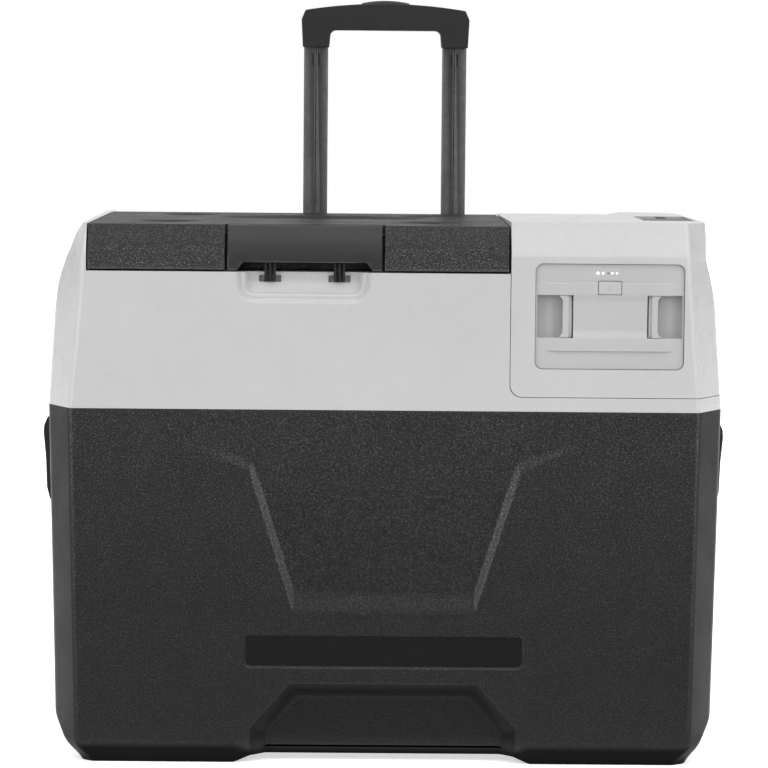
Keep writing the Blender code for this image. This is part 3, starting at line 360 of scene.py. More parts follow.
def shade(item, angle=40):
    item.data.shade_smooth()
    item.data.set_sharp_from_angle(angle=math.radians(angle))
    weighted = item.modifiers.new("Weighted", "WEIGHTED_NORMAL")
    weighted.keep_sharp = True
    return item


def present(item, name, look, *nodes):
    """Name a finished piece, and let it stand for its CAD nodes on their body."""
    item.name = name
    item.data.name = name
    item.data.materials.clear()
    item.data.materials.append(LOOKS[look])
    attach(item, frame["nodes"][nodes[0]]["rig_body"])
    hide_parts(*nodes)
    return item


# ---------------------------------------------------------------- materials
def wire(tree, source, target):
    tree.links.new(source, target)


def node(tree, kind, **values):
    made = tree.nodes.new(kind)
    for name, value in values.items():
        if hasattr(made, name):
            setattr(made, name, value)
        else:
            made.inputs[name.replace("_", " ")].default_value = value
    return made


def noise(tree, place, scale, detail=2.0, roughness=0.5):
    made = node(tree, "ShaderNodeTexNoise", Scale=scale, Detail=detail, Roughness=roughness)
    wire(tree, place, made.inputs["Vector"])
    return made.outputs["Fac"]


def ranged(tree, value, low, high, to_low, to_high, smooth=False):
    made = node(tree, "ShaderNodeMapRange", From_Min=low, From_Max=high, To_Min=to_low, To_Max=to_high)
    if smooth:
        made.interpolation_type = "SMOOTHSTEP"
    wire(tree, value, made.inputs["Value"])
    return made.outputs["Result"]


def maths(tree, operation, first, second):
    made = tree.nodes.new("ShaderNodeMath")
    made.operation = operation
    for socket, value in zip(made.inputs, (first, second)):
        if isinstance(value, (int, float)):
            socket.default_value = value
        else:
            wire(tree, value, socket)
    return made.outputs[0]


def mixed(tree, factor, first, second, blend="MIX"):
    made = tree.nodes.new("ShaderNodeMix")
    made.data_type = "RGBA"
    made.blend_type = blend
    if isinstance(factor, float):
        made.inputs["Factor"].default_value = factor
    else:
        wire(tree, factor, made.inputs["Factor"])
    for socket, value in ((made.inputs[6], first), (made.inputs[7], second)):
        if isinstance(value, tuple):
            socket.default_value = (*value, 1.0)
        else:
            wire(tree, value, socket)
    return made.outputs[2]


def new_look(name, roughness_level, metallic=0.0, specular=0.5):
    look = bpy.data.materials.new(name)
    look.use_nodes = True
    tree = look.node_tree
    shader = tree.nodes["Principled BSDF"]
    shader.inputs["Roughness"].default_value = roughness_level
    shader.inputs["Metallic"].default_value = metallic
    shader.inputs["Specular IOR Level"].default_value = specular
    place = tree.nodes.new("ShaderNodeTexCoord").outputs["Object"]
    return look, tree, shader, place


def scaled(colour, factor):
    return tuple(min(1.0, channel * factor) for channel in colour)


def plastic(
    name, colour, roughness, specular=0.5, grain=0.0, grain_height=0.0, speckle=0.0, dots_range=(0.4, 0.66),
    masked=False, wear=0.25, blotch=0.05,
):
    """Moulded plastic: spark-eroded grain with pale speckles, partly the grain's own tone and partly painted
    glints, faint blotches, uneven gloss and paler, rubbed edges. With a grain mask, a low mask darkens the
    colour, which paints shade on the base.
    """
    look, tree, shader, place = new_look(name, roughness, specular=specular)
    broad = noise(tree, place, 11.0, 3.0)
    colour_out = mixed(
        tree, ranged(tree, broad, 0.35, 0.65, 0.0, 1.0), scaled(colour, 1 - blotch),
        scaled(colour, 1 + blotch),
    )
    gloss = ranged(tree, noise(tree, place, 23.0, 4.0, 0.6), 0.3, 0.7, roughness - 0.05, roughness + 0.05)
    height = None
    mask = None
    dots = 0.5
    if masked:
        mask = node(tree, "ShaderNodeAttribute", attribute_name="grain").outputs["Fac"]
    if grain:
        cells = node(tree, "ShaderNodeTexVoronoi", Scale=1.0 / grain, Randomness=1.0)
        wire(tree, place, cells.inputs["Vector"])
        pebble = ranged(tree, cells.outputs["Distance"], 0.0, 0.75, 1.0, 0.0, True)
        rough_noise = noise(tree, place, 0.8 / grain, 2.0, 0.6)
        height = maths(tree, "ADD", maths(tree, "MULTIPLY", pebble, 0.6), rough_noise)
        # Pale speckles: partly the grain's own tone, partly painted glints.
        if speckle:
            dots = ranged(tree, rough_noise, *dots_range, 0.0, 1.0, True)
            dots = maths(tree, "MULTIPLY", dots, ranged(tree, pebble, 0.3, 0.9, 0.25, 1.0))
            if mask is not None:
                dots = maths(tree, "MULTIPLY", dots, mask)
            grain_tone_and_glint = mixed(tree, dots, scaled(colour, 1.0), scaled(colour, 1 + speckle))
            colour_out = mixed(tree, maths(tree, "MULTIPLY", dots, 0.9), colour_out, grain_tone_and_glint)
        gloss = maths(tree, "ADD", gloss, ranged(tree, pebble, 0.0, 1.0, 0.04, -0.06))
    rub = node(tree, "ShaderNodeNewGeometry").outputs["Pointiness"]
    rub = ranged(tree, rub, 0.515, 0.6, 0.0, wear, True)
    rub = maths(tree, "MULTIPLY", rub, ranged(tree, noise(tree, place, 90.0, 4.0, 0.7), 0.3, 0.6, 0.5, 1.0))
    paler = tuple(channel + (0.8 - channel) * 0.35 for channel in colour)
    colour_out = mixed(tree, rub, colour_out, paler)
    gloss = maths(tree, "SUBTRACT", gloss, maths(tree, "MULTIPLY", rub, 0.2))
    if mask is not None:
        # A low grain mask darkens the colour and the gloss; on the base this paints shade towards the bottom,
        # in the foot band and on the corners and sides.
        painted_shade = mixed(tree, mask, (0.45, 0.45, 0.45), (1.0, 1.0, 1.0))
        colour_out = mixed(tree, 1.0, colour_out, painted_shade, "MULTIPLY")
        level = ranged(tree, mask, 0.0, 1.0, 0.05, specular)
        level = maths(tree, "MULTIPLY", level, maths(tree, "ADD", maths(tree, "MULTIPLY", dots, 1.3), 0.45))
        wire(tree, level, shader.inputs["Specular IOR Level"])
    wire(tree, colour_out, shader.inputs["Base Color"])
    wire(tree, gloss, shader.inputs["Roughness"])
    if height is not None:
        bump = node(tree, "ShaderNodeBump", Distance=grain_height or 0.00003)
        bump.inputs["Strength"].default_value = 1.0
        wire(tree, height, bump.inputs["Height"])
        if mask is not None:
            wire(tree, mask, bump.inputs["Strength"])
        wire(tree, bump.outputs["Normal"], shader.inputs["Normal"])
    return look


def metal(name, colour, roughness, brush=(1.0, 1.0, 1.0), wear=0.15):
    """Drawn or brushed metal: streaks along one direction and a little tarnish."""
    look, tree, shader, place = new_look(name, roughness, metallic=1.0)
    stretch = tree.nodes.new("ShaderNodeMapping")
    stretch.inputs["Scale"].default_value = brush
    wire(tree, place, stretch.inputs["Vector"])
    streaks = noise(tree, stretch.outputs["Vector"], 900.0, 3.0, 0.6)
    tarnish = noise(tree, place, 30.0, 4.0, 0.6)
    colour_out = mixed(
        tree, ranged(tree, tarnish, 0.35, 0.7, 0.0, 1.0), colour, scaled(colour, 1 - wear),
    )
    wire(tree, colour_out, shader.inputs["Base Color"])
    wire(
        tree, ranged(tree, streaks, 0.3, 0.7, roughness - 0.08, roughness + 0.12),
        shader.inputs["Roughness"],
    )
    bump = node(tree, "ShaderNodeBump", Distance=0.00002)
    wire(tree, streaks, bump.inputs["Height"])
    wire(tree, bump.outputs["Normal"], shader.inputs["Normal"])
    return look


def rubber(name, colour, roughness, height, scale):
    """Rubber or foam: open pores, coloured darker as painted shade, and dusty patches."""
    look, tree, shader, place = new_look(name, roughness, specular=0.3)
    pores = node(tree, "ShaderNodeTexVoronoi", Scale=scale)
    wire(tree, place, pores.inputs["Vector"])
    dust = noise(tree, place, 45.0, 5.0, 0.65)
    colour_out = mixed(
        tree, ranged(tree, dust, 0.35, 0.7, 0.0, 1.0), scaled(colour, 0.85), scaled(colour, 1.2),
    )
    # The pores are coloured darker: painted shade in the pores.
    deep = ranged(tree, pores.outputs["Distance"], 0.0, 0.6, 0.0, 1.0, True)
    wire(tree, mixed(tree, deep, scaled(colour, 0.7), colour_out), shader.inputs["Base Color"])
    wire(tree, ranged(tree, dust, 0.3, 0.7, roughness - 0.08, roughness + 0.06), shader.inputs["Roughness"])
    bump = node(tree, "ShaderNodeBump", Distance=height)
    wire(tree, maths(tree, "ADD", deep, dust), bump.inputs["Height"])
    wire(tree, bump.outputs["Normal"], shader.inputs["Normal"])
    return look


def glass_screen(name):
    look, tree, shader, place = new_look(name, 0.3, specular=0.03)
    smudge = noise(tree, place, 60.0, 5.0, 0.65)
    wire(tree, ranged(tree, smudge, 0.35, 0.7, 0.22, 0.38), shader.inputs["Roughness"])
    tint = mixed(tree, ranged(tree, smudge, 0.3, 0.7, 0.0, 1.0), (0.01, 0.011, 0.013), (0.018, 0.02, 0.023))
    wire(tree, tint, shader.inputs["Base Color"])
    return look


def lamp(name, strength):
    look, tree, shader, place = new_look(name, 0.3)
    cloudy = noise(tree, place, 700.0, 2.0)
    tint = mixed(tree, ranged(tree, cloudy, 0.3, 0.7, 0.0, 1.0), (0.88, 0.9, 0.95), (0.97, 0.98, 1.0))
    wire(tree, tint, shader.inputs["Base Color"])
    shader.inputs["Emission Color"].default_value = (0.93, 0.96, 1.0, 1.0)
    shader.inputs["Emission Strength"].default_value = strength
    return look


BASE_COLOUR = (0.012, 0.012, 0.0123)
LID_COLOUR = (0.0175, 0.0175, 0.0178)
LIGHT_COLOUR = (0.478, 0.478, 0.48)
TRIM_COLOUR = (0.022, 0.022, 0.023)

# Plain satin plastics: name, colour, roughness, specular level, size and height of the grain, wear, blotches.
SATIN = {
    "light": ("light_satin", LIGHT_COLOUR, 0.28, 0.5, 0.0007, 0.00002, 0.08, 0.01),
    "battery": ("battery_satin", scaled(LIGHT_COLOUR, 0.9), 0.36, 0.5, 0.0006, 0.00002, 0.08, 0.01),
    "trim": ("trim_satin", TRIM_COLOUR, 0.4, 0.5, 0.0006, 0.00004, 0.22, 0.05),
    "latch": ("latch_satin", (0.026, 0.026, 0.027), 0.42, 0.25, 0.0006, 0.00003, 0.25, 0.05),
    "grip": ("grip_satin", (0.014, 0.014, 0.015), 0.38, 0.35, 0.0005, 0.00004, 0.25, 0.05),
    "tube": ("tube_coated", (0.028, 0.028, 0.03), 0.3, 0.5, 0.0004, 0.00002, 0.3, 0.05),
    "liner": ("liner_smooth", (0.62, 0.63, 0.64), 0.3, 0.5, 0.001, 0.00003, 0.08, 0.02),
    "cells": ("cell_wrap", (0.06, 0.18, 0.42), 0.32, 0.5, 0.003, 0.00003, 0.25, 0.05),
    "black": ("black_coated", (0.02, 0.02, 0.022), 0.35, 0.6, 0.0008, 0.00006, 0.3, 0.05),
    "panel": ("panel_grey", (0.32, 0.32, 0.325), 0.45, 0.3, 0.0006, 0.00002, 0.05, 0.05),
    # hook: a darker, duller copy of the latch plastic, as painted shade for the gap under the latch.
    "hook": ("hook_painted_shade", (0.005, 0.005, 0.006), 0.45, 0.1, 0.0008, 0.00003, 0.1, 0.05),
    "pin": ("pin_blued", (0.006, 0.006, 0.007), 0.45, 0.15, 0.0008, 0.00003, 0.1, 0.05),
    "lamp_off": ("lamp_dark", (0.1, 0.1, 0.11), 0.25, 0.5, 0.0004, 0.00001, 0.25, 0.05),
}
LOOKS = {
    "base": plastic(
        "base_grained", BASE_COLOUR, 0.33, specular=0.66, grain=0.0013, grain_height=0.00022, speckle=5.0,
        dots_range=(0.41, 0.6), masked=True, wear=0.06,
    ),
    "lid": plastic(
        "lid_grained", LID_COLOUR, 0.42, grain=0.0012, grain_height=0.0006, speckle=8.0,
        dots_range=(0.4, 0.6), masked=True, wear=0.1,
    ),
    "board": plastic("board_green", (0.03, 0.18, 0.07), 0.4, grain=0.002, grain_height=0.00005, speckle=0.5),
    "foam": rubber("foam_cells", (0.78, 0.7, 0.48), 0.85, 0.0006, 700.0),
    "seal": rubber("seal_rubber", (0.055, 0.055, 0.057), 0.75, 0.0001, 1500.0),
    "tyre": rubber("tyre_rubber", (0.026, 0.026, 0.027), 0.8, 0.0002, 1100.0),
    "steel": metal("steel_plated", (0.55, 0.55, 0.56), 0.32, (1.0, 6.0, 6.0)),
    "copper": metal("copper_tube", (0.72, 0.38, 0.23), 0.28, (4.0, 4.0, 1.0)),
    "aluminium": metal("aluminium_mill", (0.72, 0.73, 0.74), 0.34, (5.0, 5.0, 1.0)),
    "screen": glass_screen("screen_glass"),
    "lamp_on": lamp("lamp_lit", 1.6),
}
for key, (title, tint, roughness, specular, grain, height, wear, blotch) in SATIN.items():
    LOOKS[key] = plastic(title, tint, roughness, specular, grain, height, wear=wear, blotch=blotch)
SLOTS = {key: key for key in LOOKS}
for slot, keys in {
    "base_dark": "base",
    "lid_dark": "lid",
    "body_light": "light battery panel",
    "trim_dark": "trim latch hook grip",
    "tube_dark": "tube",
    "liner_light": "liner",
    "board_green": "board",
    "cell_blue": "cells",
    "black_metal": "black pin",
    "screen_black": "screen",
    "lamp_white": "lamp_on lamp_off",
}.items():
    SLOTS.update(dict.fromkeys(keys.split(), slot))


# ---------------------------------------------------------------- the body's outer skin
def plan_at(plan, z, blur):
    """The plan's sizes at a height, with its creases rounded over the given distance."""
    samples = [z + blur * step / 4 for step in range(-4, 5)]
    heights = [row[0] for row in plan]
    return [float(np.mean(np.interp(samples, heights, column))) for column in list(zip(*plan))[1:]]


def plan_corners(row, shrink=0.0):
    side_left, side_right, front_left, front_right, corner, inset_front, inset_back = row
    low = FRONT + shrink
    high = BACK - shrink
    chamfer = shrink * 0.4
    return [
        (-front_left + chamfer, low + inset_front), (front_right - chamfer, low + inset_front),
        (side_right - shrink, low + corner), (side_right - shrink, high - corner),
        (front_right - chamfer, high - inset_back), (-front_left + chamfer, high - inset_back),
        (-side_left + shrink, high - corner), (-side_left + shrink, low + corner),
    ]


def hull(name, rows, shrink):
    """The plan at a few heights, as one closed block."""
    return skin(name, [[(x, y, z) for x, y in plan_corners(row, shrink)] for z, *row in rows])


def at_height(row, z):
    return (z, *row[1:])


def body_ring(z, row, columns, core, reach, depth_at, lift_at=None, rear_columns=()):
    """One ring of the outer skin. The columns cross the front, where depth_at says how deep it is."""
    corner_arcs = arcs(plan_corners(row), CORNER_RADII)
    ring = [(*point, z) for point in corner_arcs[0]]
    start = corner_arcs[0][-1]
    end = corner_arcs[1][0]
    for column in columns:
        limit = end.x if column > 0 else start.x
        x = column
        if abs(column) > core:
            x = math.copysign(core + (abs(column) - core) * (abs(limit) - core) / (reach - core), column)
        height = z + (lift_at(x, z) if lift_at else 0.0)
        ring.append((x, start.y + depth_at(x, z), height))
    for number in range(1, 5):
        ring += [(*point, z) for point in corner_arcs[number]]
    back = corner_arcs[4][-1].y
    ring += [(x, back, z + (lift_at(x, z) if lift_at else 0.0)) for x in rear_columns]
    for number in range(5, 8):
        ring += [(*point, z) for point in corner_arcs[number]]
    return ring


def foot_lift(x, z):
    """How much the underside rises between the front feet, fading out above it."""
    rise = FOOT_RISE * ramp((FOOT_OUTER - abs(x)) / (FOOT_OUTER - FOOT_INNER))
    return rise * max(0.0, 1 - z / 0.045)


def emboss_depth(x, z):
    """The V in the base's front: deepest at its foot, spreading and fading towards the seam."""
    x = abs(x)
    foot = (z - EMBOSS_BOTTOM) / 0.026
    fade = min(1.0, (SEAM - 0.004 - z) / (SEAM - 0.004 - 0.27))
    flank = beyond((x, z), (EMBOSS_HALF, EMBOSS_BOTTOM), EMBOSS_BEND) / 0.0088
    wing = beyond((x, z), EMBOSS_BEND, EMBOSS_END) / 0.013
    if fade <= 0:
        return 0.0
    reach = 1 - smooth_step((x - 0.165) / 0.06)
    return EMBOSS_DEPTH * fade * reach * ramp(min(foot, max(flank, wing)))


def strip_inside(x, z):
    radius = 0.0065 if z < STRIP_MIDDLE else 0.004
    return inside_box(x, z, (0.0, STRIP_MIDDLE), STRIP_HALF, STRIP_HALF_HEIGHT, radius)


def notch_inside(x, z):
    side = beyond((abs(x), z), NOTCH_SIDE, (NOTCH_TOP_HALF, NOTCH_TOP))
    return min(side, NOTCH_SIDE[0] - abs(x), NOTCH_TOP - z)


def base_depth(x, z):
    lifted = z + foot_lift(x, z)
    x -= BASE_SHIFT
    strip = STRIP_DEPTH * ramp(strip_inside(x, z) / 0.0024)
    notch = NOTCH_DEPTH * ramp(notch_inside(x, lifted) / NOTCH_BEVEL)
    return max(emboss_depth(x, z), strip, notch)


def mark_grain_and_shade(item, amount_at):
    """Write how strong the moulded grain is at each point of a mesh; the same value darkens the colour, which
    paints shade on the base.
    """
    layer = item.data.attributes.new("grain", "FLOAT", "POINT")
    layer.data.foreach_set("value", [amount_at(*vertex.co) for vertex in item.data.vertices])


def base_grain_and_shade(x, y, z):
    """The front is grained. The strip, the band round the notch, the feet and the corners are smoother. The
    same value darkens the colour: darker towards the bottom, in the foot band, on the corners and on the
    sides and back, which is painted shade; the strip and the band round the notch are darker too.
    """
    # Painted shade: the sides and the back get a low value, so their colour is darker.
    if y > FRONT + 0.03:
        return 0.12 + 0.38 * smooth_step((y - FRONT - 0.03) / 0.08)
    # Painted shade: the value, and with it the colour, falls towards the bottom.
    amount = 0.5 + 0.5 * min(1.0, z / 0.33)
    # Painted shade: the front corner chamfers get a low value, so they are darker.
    amount *= 1.0 - 0.88 * smooth_step((y - FRONT - 0.0008) / 0.0022) * smooth_step((abs(x) - 0.2975) / 0.003)
    # Painted shade: the foot band is matte and darker.
    amount *= smooth_step((z + foot_lift(x, z) - 0.014) / 0.008)
    x -= BASE_SHIFT
    amount *= 1 - 0.55 * smooth_step((strip_inside(x, z) - 0.0014) / 0.0012)
    band = notch_inside(x, z) / NOTCH_BEVEL
    amount *= 1 - 0.7 * smooth_step(band / 0.1) + 0.4 * smooth_step((band - 0.9) / 0.1)
    return amount


def make_base():
    columns = spread(
        (-0.296, -0.23, 0.006), (-0.23, -FOOT_OUTER, 0.0032), (-FOOT_OUTER, -0.14, 0.0016),
        (-0.14, -0.1335, 0.0009), (-0.1335, -FOOT_INNER, 0.0015), (-FOOT_INNER, -0.082, 0.0014),
        (-0.082, 0.082, 0.0027), (0.082, FOOT_INNER, 0.0014),
        (FOOT_INNER, 0.1335, 0.0015), (0.1335, 0.14, 0.0009), (0.14, FOOT_OUTER, 0.0016),
        (FOOT_OUTER, 0.23, 0.0032), (0.23, 0.296, 0.006),
    )
    heights = spread(
        (0.0, 0.045, 0.0018), (0.045, 0.064, 0.003), (0.064, 0.084, 0.0016), (0.084, 0.0955, 0.003),
        (0.0955, 0.101, 0.0008), (0.101, 0.125, 0.004), (0.125, 0.13, 0.0008), (0.13, 0.148, 0.003),
        (0.148, 0.178, 0.0018), (0.178, 0.31, 0.002), (0.31, SEAM, 0.0036),
    )
    marks = [-FOOT_OUTER, -FOOT_INNER, FOOT_INNER, FOOT_OUTER]
    rows = [
        body_ring(
            z, plan_at(BASE_PLAN, z, 0.005), columns, FOOT_OUTER, 0.296, base_depth, foot_lift, marks[::-1],
        )
        for z in heights
    ]
    count = len(rows[0])
    first = 6
    near = [first + min(range(len(columns)), key=lambda n: abs(columns[n] - mark)) for mark in marks]
    last = first + len(columns) + 4 * 6
    far = [last + 3, last + 2, last + 1, last]
    bottom = []
    for left, right in ((0, 1), (1, 2), (2, 3)):
        bottom.append((*range(near[left], near[right] + 1), far[right], far[left])[::-1])
    bottom.append((*range(near[3], far[3] + 1),)[::-1])
    bottom.append((*range(far[0], count), *range(0, near[0] + 1))[::-1])
    shell = skin("base", rows, bottom)
    hollow = hull("hollow", (
        at_height(BASE_PLAN[0], 0.014), at_height(BASE_PLAN[1], 0.024), BASE_PLAN[2],
        at_height(BASE_PLAN[3], SEAM + 0.01),
    ), WALL)
    cut(hollow, blocks(
        "bosses",
        ((-0.14, FRONT - 0.01, 0.0), (0.14, FRONT + 0.0195, 0.086)),
        ((-0.145, FRONT - 0.01, 0.094), (0.145, FRONT + 0.007, 0.132)),
        ((-0.23, FRONT - 0.01, 0.14), (0.23, FRONT + 0.01, 0.345)),
        ((-0.34, 0.1145, 0.0), (-0.273, BACK + 0.01, 0.102)),
        ((0.273, 0.1145, 0.0), (0.34, BACK + 0.01, 0.102)),
    ))
    cut(
        shell,
        hollow,
        blocks("rear_rise", ((-0.34, 0.09, -0.01), (0.34, BACK + 0.01, 0.012))),
        blocks(
            "windows",
            ((0.32, FRONT + 0.12, 0.095), (0.34, FRONT + 0.26, 0.2)),
            ((0.15, BACK - 0.01, 0.09), (0.28, BACK + 0.01, 0.215)),
            ((-0.34, FRONT + 0.1197, 0.2527), (-0.322, FRONT + 0.2803, 0.3273)),
            ((0.322, FRONT + 0.1197, 0.2527), (0.34, FRONT + 0.2803, 0.3273)),
        ),
    )
    wheel_middle = (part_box("wheel_tyre_left")[0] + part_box("wheel_tyre_left")[1]) / 2
    for side in (-1, 1):
        centre = (side * (abs(wheel_middle.x) + 0.0045), wheel_middle.y, wheel_middle.z)
        cut(shell, rod("arch", centre, (1, 0, 0), 0.052, 0.05, 64))
        edges = sorted((side * 0.277, side * 0.34))
        cut(
            shell,
            blocks(
                "arch_side", ((edges[0], wheel_middle.y - 0.04, -0.01), (edges[1], BACK + 0.02, 0.06)),
            ),
        )
    cut(shell, rod("axle_hole", (0, wheel_middle.y, wheel_middle.z), (1, 0, 0), 0.0043, 0.66, 24))
    tidy(shell, 0)
    mark_grain_and_shade(shell, base_grain_and_shade)
    shade(shell, 35)
    present(shell, "base_moulding", "base", "lower_shell")


# ---------------------------------------------------------------- upper body
def recess_depth(x, z):
    """The hollow below the latch: a soft outer lip, a step, then a floor that runs out at the bottom."""
    middle = ((RECESS_LEFT + RECESS_RIGHT) / 2, 0.505)
    half_width = (RECESS_RIGHT - RECESS_LEFT) / 2
    half_height = middle[1] - RECESS_BOTTOM
    outer = inside_box(x, z, middle, half_width, half_height, 0.017)
    inner = inside_box(
        x, z, (middle[0], middle[1] + 0.0035), half_width - 0.0075, half_height - 0.0035, 0.011,
    )
    if outer <= 0:
        return 0.0
    floor = smooth_step(0.25 + 0.75 * (z - RECESS_BOTTOM) / 0.023)
    return 0.004 * ramp(outer / 0.0026) + (RECESS_DEPTH - 0.004) * ramp(inner / 0.0032) * floor


def make_upper_shell():
    columns = spread(
        (-0.288, -0.148, 0.02), (-0.148, -0.128, 0.0009), (-0.128, -0.031, 0.003),
        (-0.031, -0.011, 0.0009), (-0.011, 0.13, 0.02), (0.13, 0.288, 0.04),
    )
    heights = spread(
        (SEAM + GAP, 0.356, 0.002), (0.356, 0.45, 0.006), (0.45, 0.485, 0.0009), (0.485, 0.496, 0.003),
        (0.496, 0.506, 0.0012), (0.506, COVER_TOP, 0.006),
    )
    rows = []
    for z in heights:
        blur = 0.009 if z < 0.488 else 0.0018
        rows.append(body_ring(z, plan_at(UPPER_PLAN, z, blur), columns, 0.15, 0.288, recess_depth))
    shell = skin("upper", rows)
    hollow = hull("hollow", (
        at_height(UPPER_PLAN[0], SEAM - 0.01), *UPPER_PLAN[1:3], at_height(UPPER_PLAN[3], 0.4775),
    ), WALL)
    cut(hollow, blocks("boss", ((-0.155, FRONT - 0.01, 0.44), (-0.004, FRONT + 0.02, 0.49))))
    low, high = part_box("cabin_liner")
    inner_low = Vector((low.x + 0.0205, low.y + 0.0175, 0.4))
    inner_high = Vector((high.x - 0.0205, high.y - 0.0145, 0.5))
    hooks = hook_places()
    cut(
        shell,
        hollow,
        cover_zone("machine_side", GAP * 2),
        blocks("lid_zone", ((-0.2915, FRONT - 0.01, DECK), (0.14, FRONT + 0.3822, 0.6))),
        blocks("rim_zone", ((-0.2915, FRONT + 0.38, 0.514), (0.14, BACK + 0.01, 0.6))),
        blocks("left_rim", ((-0.34, FRONT - 0.01, LID_TOP), (-0.28, BACK + 0.01, 0.6))),
        blocks("flange_seat", ((low.x - GAP, low.y - GAP, 0.4815), (high.x + GAP, high.y + GAP, 0.5))),
        blocks("cabin_hole", (inner_low - Vector((0.003, 0.003, 0)), inner_high + Vector((0.003, 0.003, 0)))),
        prism(
            "grip_pocket", rounded(box_outline((-0.098, FRONT + 0.3852), (0.098, FRONT + 0.417)), 0.003),
            "Z", 0.44, 0.6,
        ),
        *[
            prism("hook_slot", rounded(box_outline((x - 0.0108, 0.4745), (x + 0.0108, 0.4812)), 0.0012), "Y",
                  FRONT, FRONT + 0.018)
            for x in hooks
        ],
    )
    tidy(shell, 0)
    soften(shell, 0.0007, 2, 38)
    shade(shell, 35)
    present(shell, "upper_moulding", "light", "upper_shell")


def hook_places():
    """The middles of the two latch hooks."""
    low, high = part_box("latch_hooks")
    return (low.x + 0.012, high.x - 0.012)


def cover_zone(name, grow):
    """Everything right of the machine cover's left edge, with its round lower corner."""
    bottom = COVER_BOTTOM - grow
    outline = rounded(
        [(COVER_LEFT - grow, 0.6), (COVER_LEFT - grow, bottom), (0.4, bottom), (0.4, 0.6)],
        [0, COVER_CORNER, 0, 0], 8,
    )
    return prism(name, outline, "Y", FRONT - 0.02, BACK + 0.02)


def make_machine_cover():
    columns = spread((-0.288, 0.1, 0.097), (0.1, 0.288, 0.0235))
    heights = spread(
        (SEAM + GAP, 0.485, 0.006), (0.485, 0.496, 0.003), (0.496, 0.506, 0.001), (0.506, COVER_TOP, 0.005),
    )
    rows = []
    for z in heights:
        blur = 0.009 if z < 0.488 else 0.0018
        rows.append(body_ring(z, plan_at(UPPER_PLAN, z, blur), columns, 0.15, 0.288, lambda x, z: 0.0))
    cover = skin("cover", rows)
    panel_low, panel_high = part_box("display_bezel")
    slope_end = panel_low.x - 0.001
    drop = skin("rear_drop", [
        [(0.05, y, 0.56), (0.05, y, high - fall), (slope_end - 0.016, y, high - fall), (slope_end, y, high),
         (0.4, y, high), (0.4, y, 0.56)]
        for y, high, fall in ((FRONT + 0.015, 0.5345, 0.0), (BACK + 0.02, 0.532, 0.0026))
    ])
    cut(cover, drop)
    hollow_rows = (
        at_height(UPPER_PLAN[0], SEAM - 0.01), *UPPER_PLAN[1:7], at_height(UPPER_PLAN[7], 0.527),
    )
    hollow = hull("hollow", hollow_rows, WALL)
    cut(hollow, blocks("left_of_wall", ((-0.4, -0.3, 0.3), (COVER_LEFT + 0.0035, 0.3, 0.6))))
    keep(cover, cover_zone("cover_keep", 0.0))
    inlet_low, inlet_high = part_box("dc_inlet")
    window = rounded(
        box_outline(battery_low.xz, battery_high.xz, -0.0005),
        0.0075, 6,
    )
    gap = Vector((GAP, GAP, 0))
    cut(
        cover, hollow, prism("battery_window", window, "Y", FRONT - 0.01, FRONT + 0.02),
        blocks(
            "panel_window",
            (panel_low - gap - Vector((0, 0, 0.02)), panel_high + gap + Vector((0, 0, 0.02))),
        ),
        blocks(
            "inlet_window",
            (
                (inlet_low.x - GAP, BACK - 0.012, inlet_low.z - GAP),
                (inlet_high.x + GAP, BACK + 0.012, inlet_high.z + GAP),
            ),
        ),
    )
    tidy(cover, 0)
    soften(cover, 0.0006, 2, 38)
    shade(cover, 35)
    present(cover, "machine_moulding", "light", "machine_cover")


# ---------------------------------------------------------------- lid
def lid_profile():
    """The lid's side outline, from the front's foot over the top to the rear's foot."""
    corners = [
        (FRONT, LID_BOTTOM), (FRONT, LID_CREASE), (FRONT + LID_LEAN, LID_TOP), (lid_back() - 0.005, LID_TOP),
        (lid_back(), LID_TOP - 0.005), (lid_back(), LID_BOTTOM),
    ]
    found = arcs([(y, z) for y, z in corners], [0, 0.02, 0.003, 0.004, 0.004, 0])
    points = [tuple(found[0][0])]
    points += [(FRONT, z) for z in spread((LID_BOTTOM + 0.003, found[1][0].y - 0.001, 0.004))]
    points += [tuple(point) for arc in found[1:3] for point in arc]
    start = points[-1][0]
    end = found[3][0].x
    points += [(y, LID_TOP) for y in spread((start, end, 0.0035))[1:-1]]
    points += [tuple(point) for arc in found[3:] for point in arc]
    return points


def lid_back():
    return FRONT + 0.372


LID_DISHES = ((-0.215, 0.105), (-0.205, 0.3), (0.045, 0.105), (0.045, 0.3))


def lid_top_depth(x, y):
    """Four shallow dishes and a long shallow hollow between them."""
    deepest = 0.0
    for dish_x, dish_depth in LID_DISHES:
        away = math.hypot(x - dish_x, y - FRONT - dish_depth) / 0.034
        if away < 1:
            deepest = max(deepest, 0.0032 * ramp((1 - away) / 0.4))
    long_away = math.hypot((x + 0.062) / 0.118, (y - FRONT - 0.235) / 0.062)
    if long_away < 1:
        deepest = max(deepest, 0.0032 * ramp((1 - long_away) / 0.2))
    return deepest


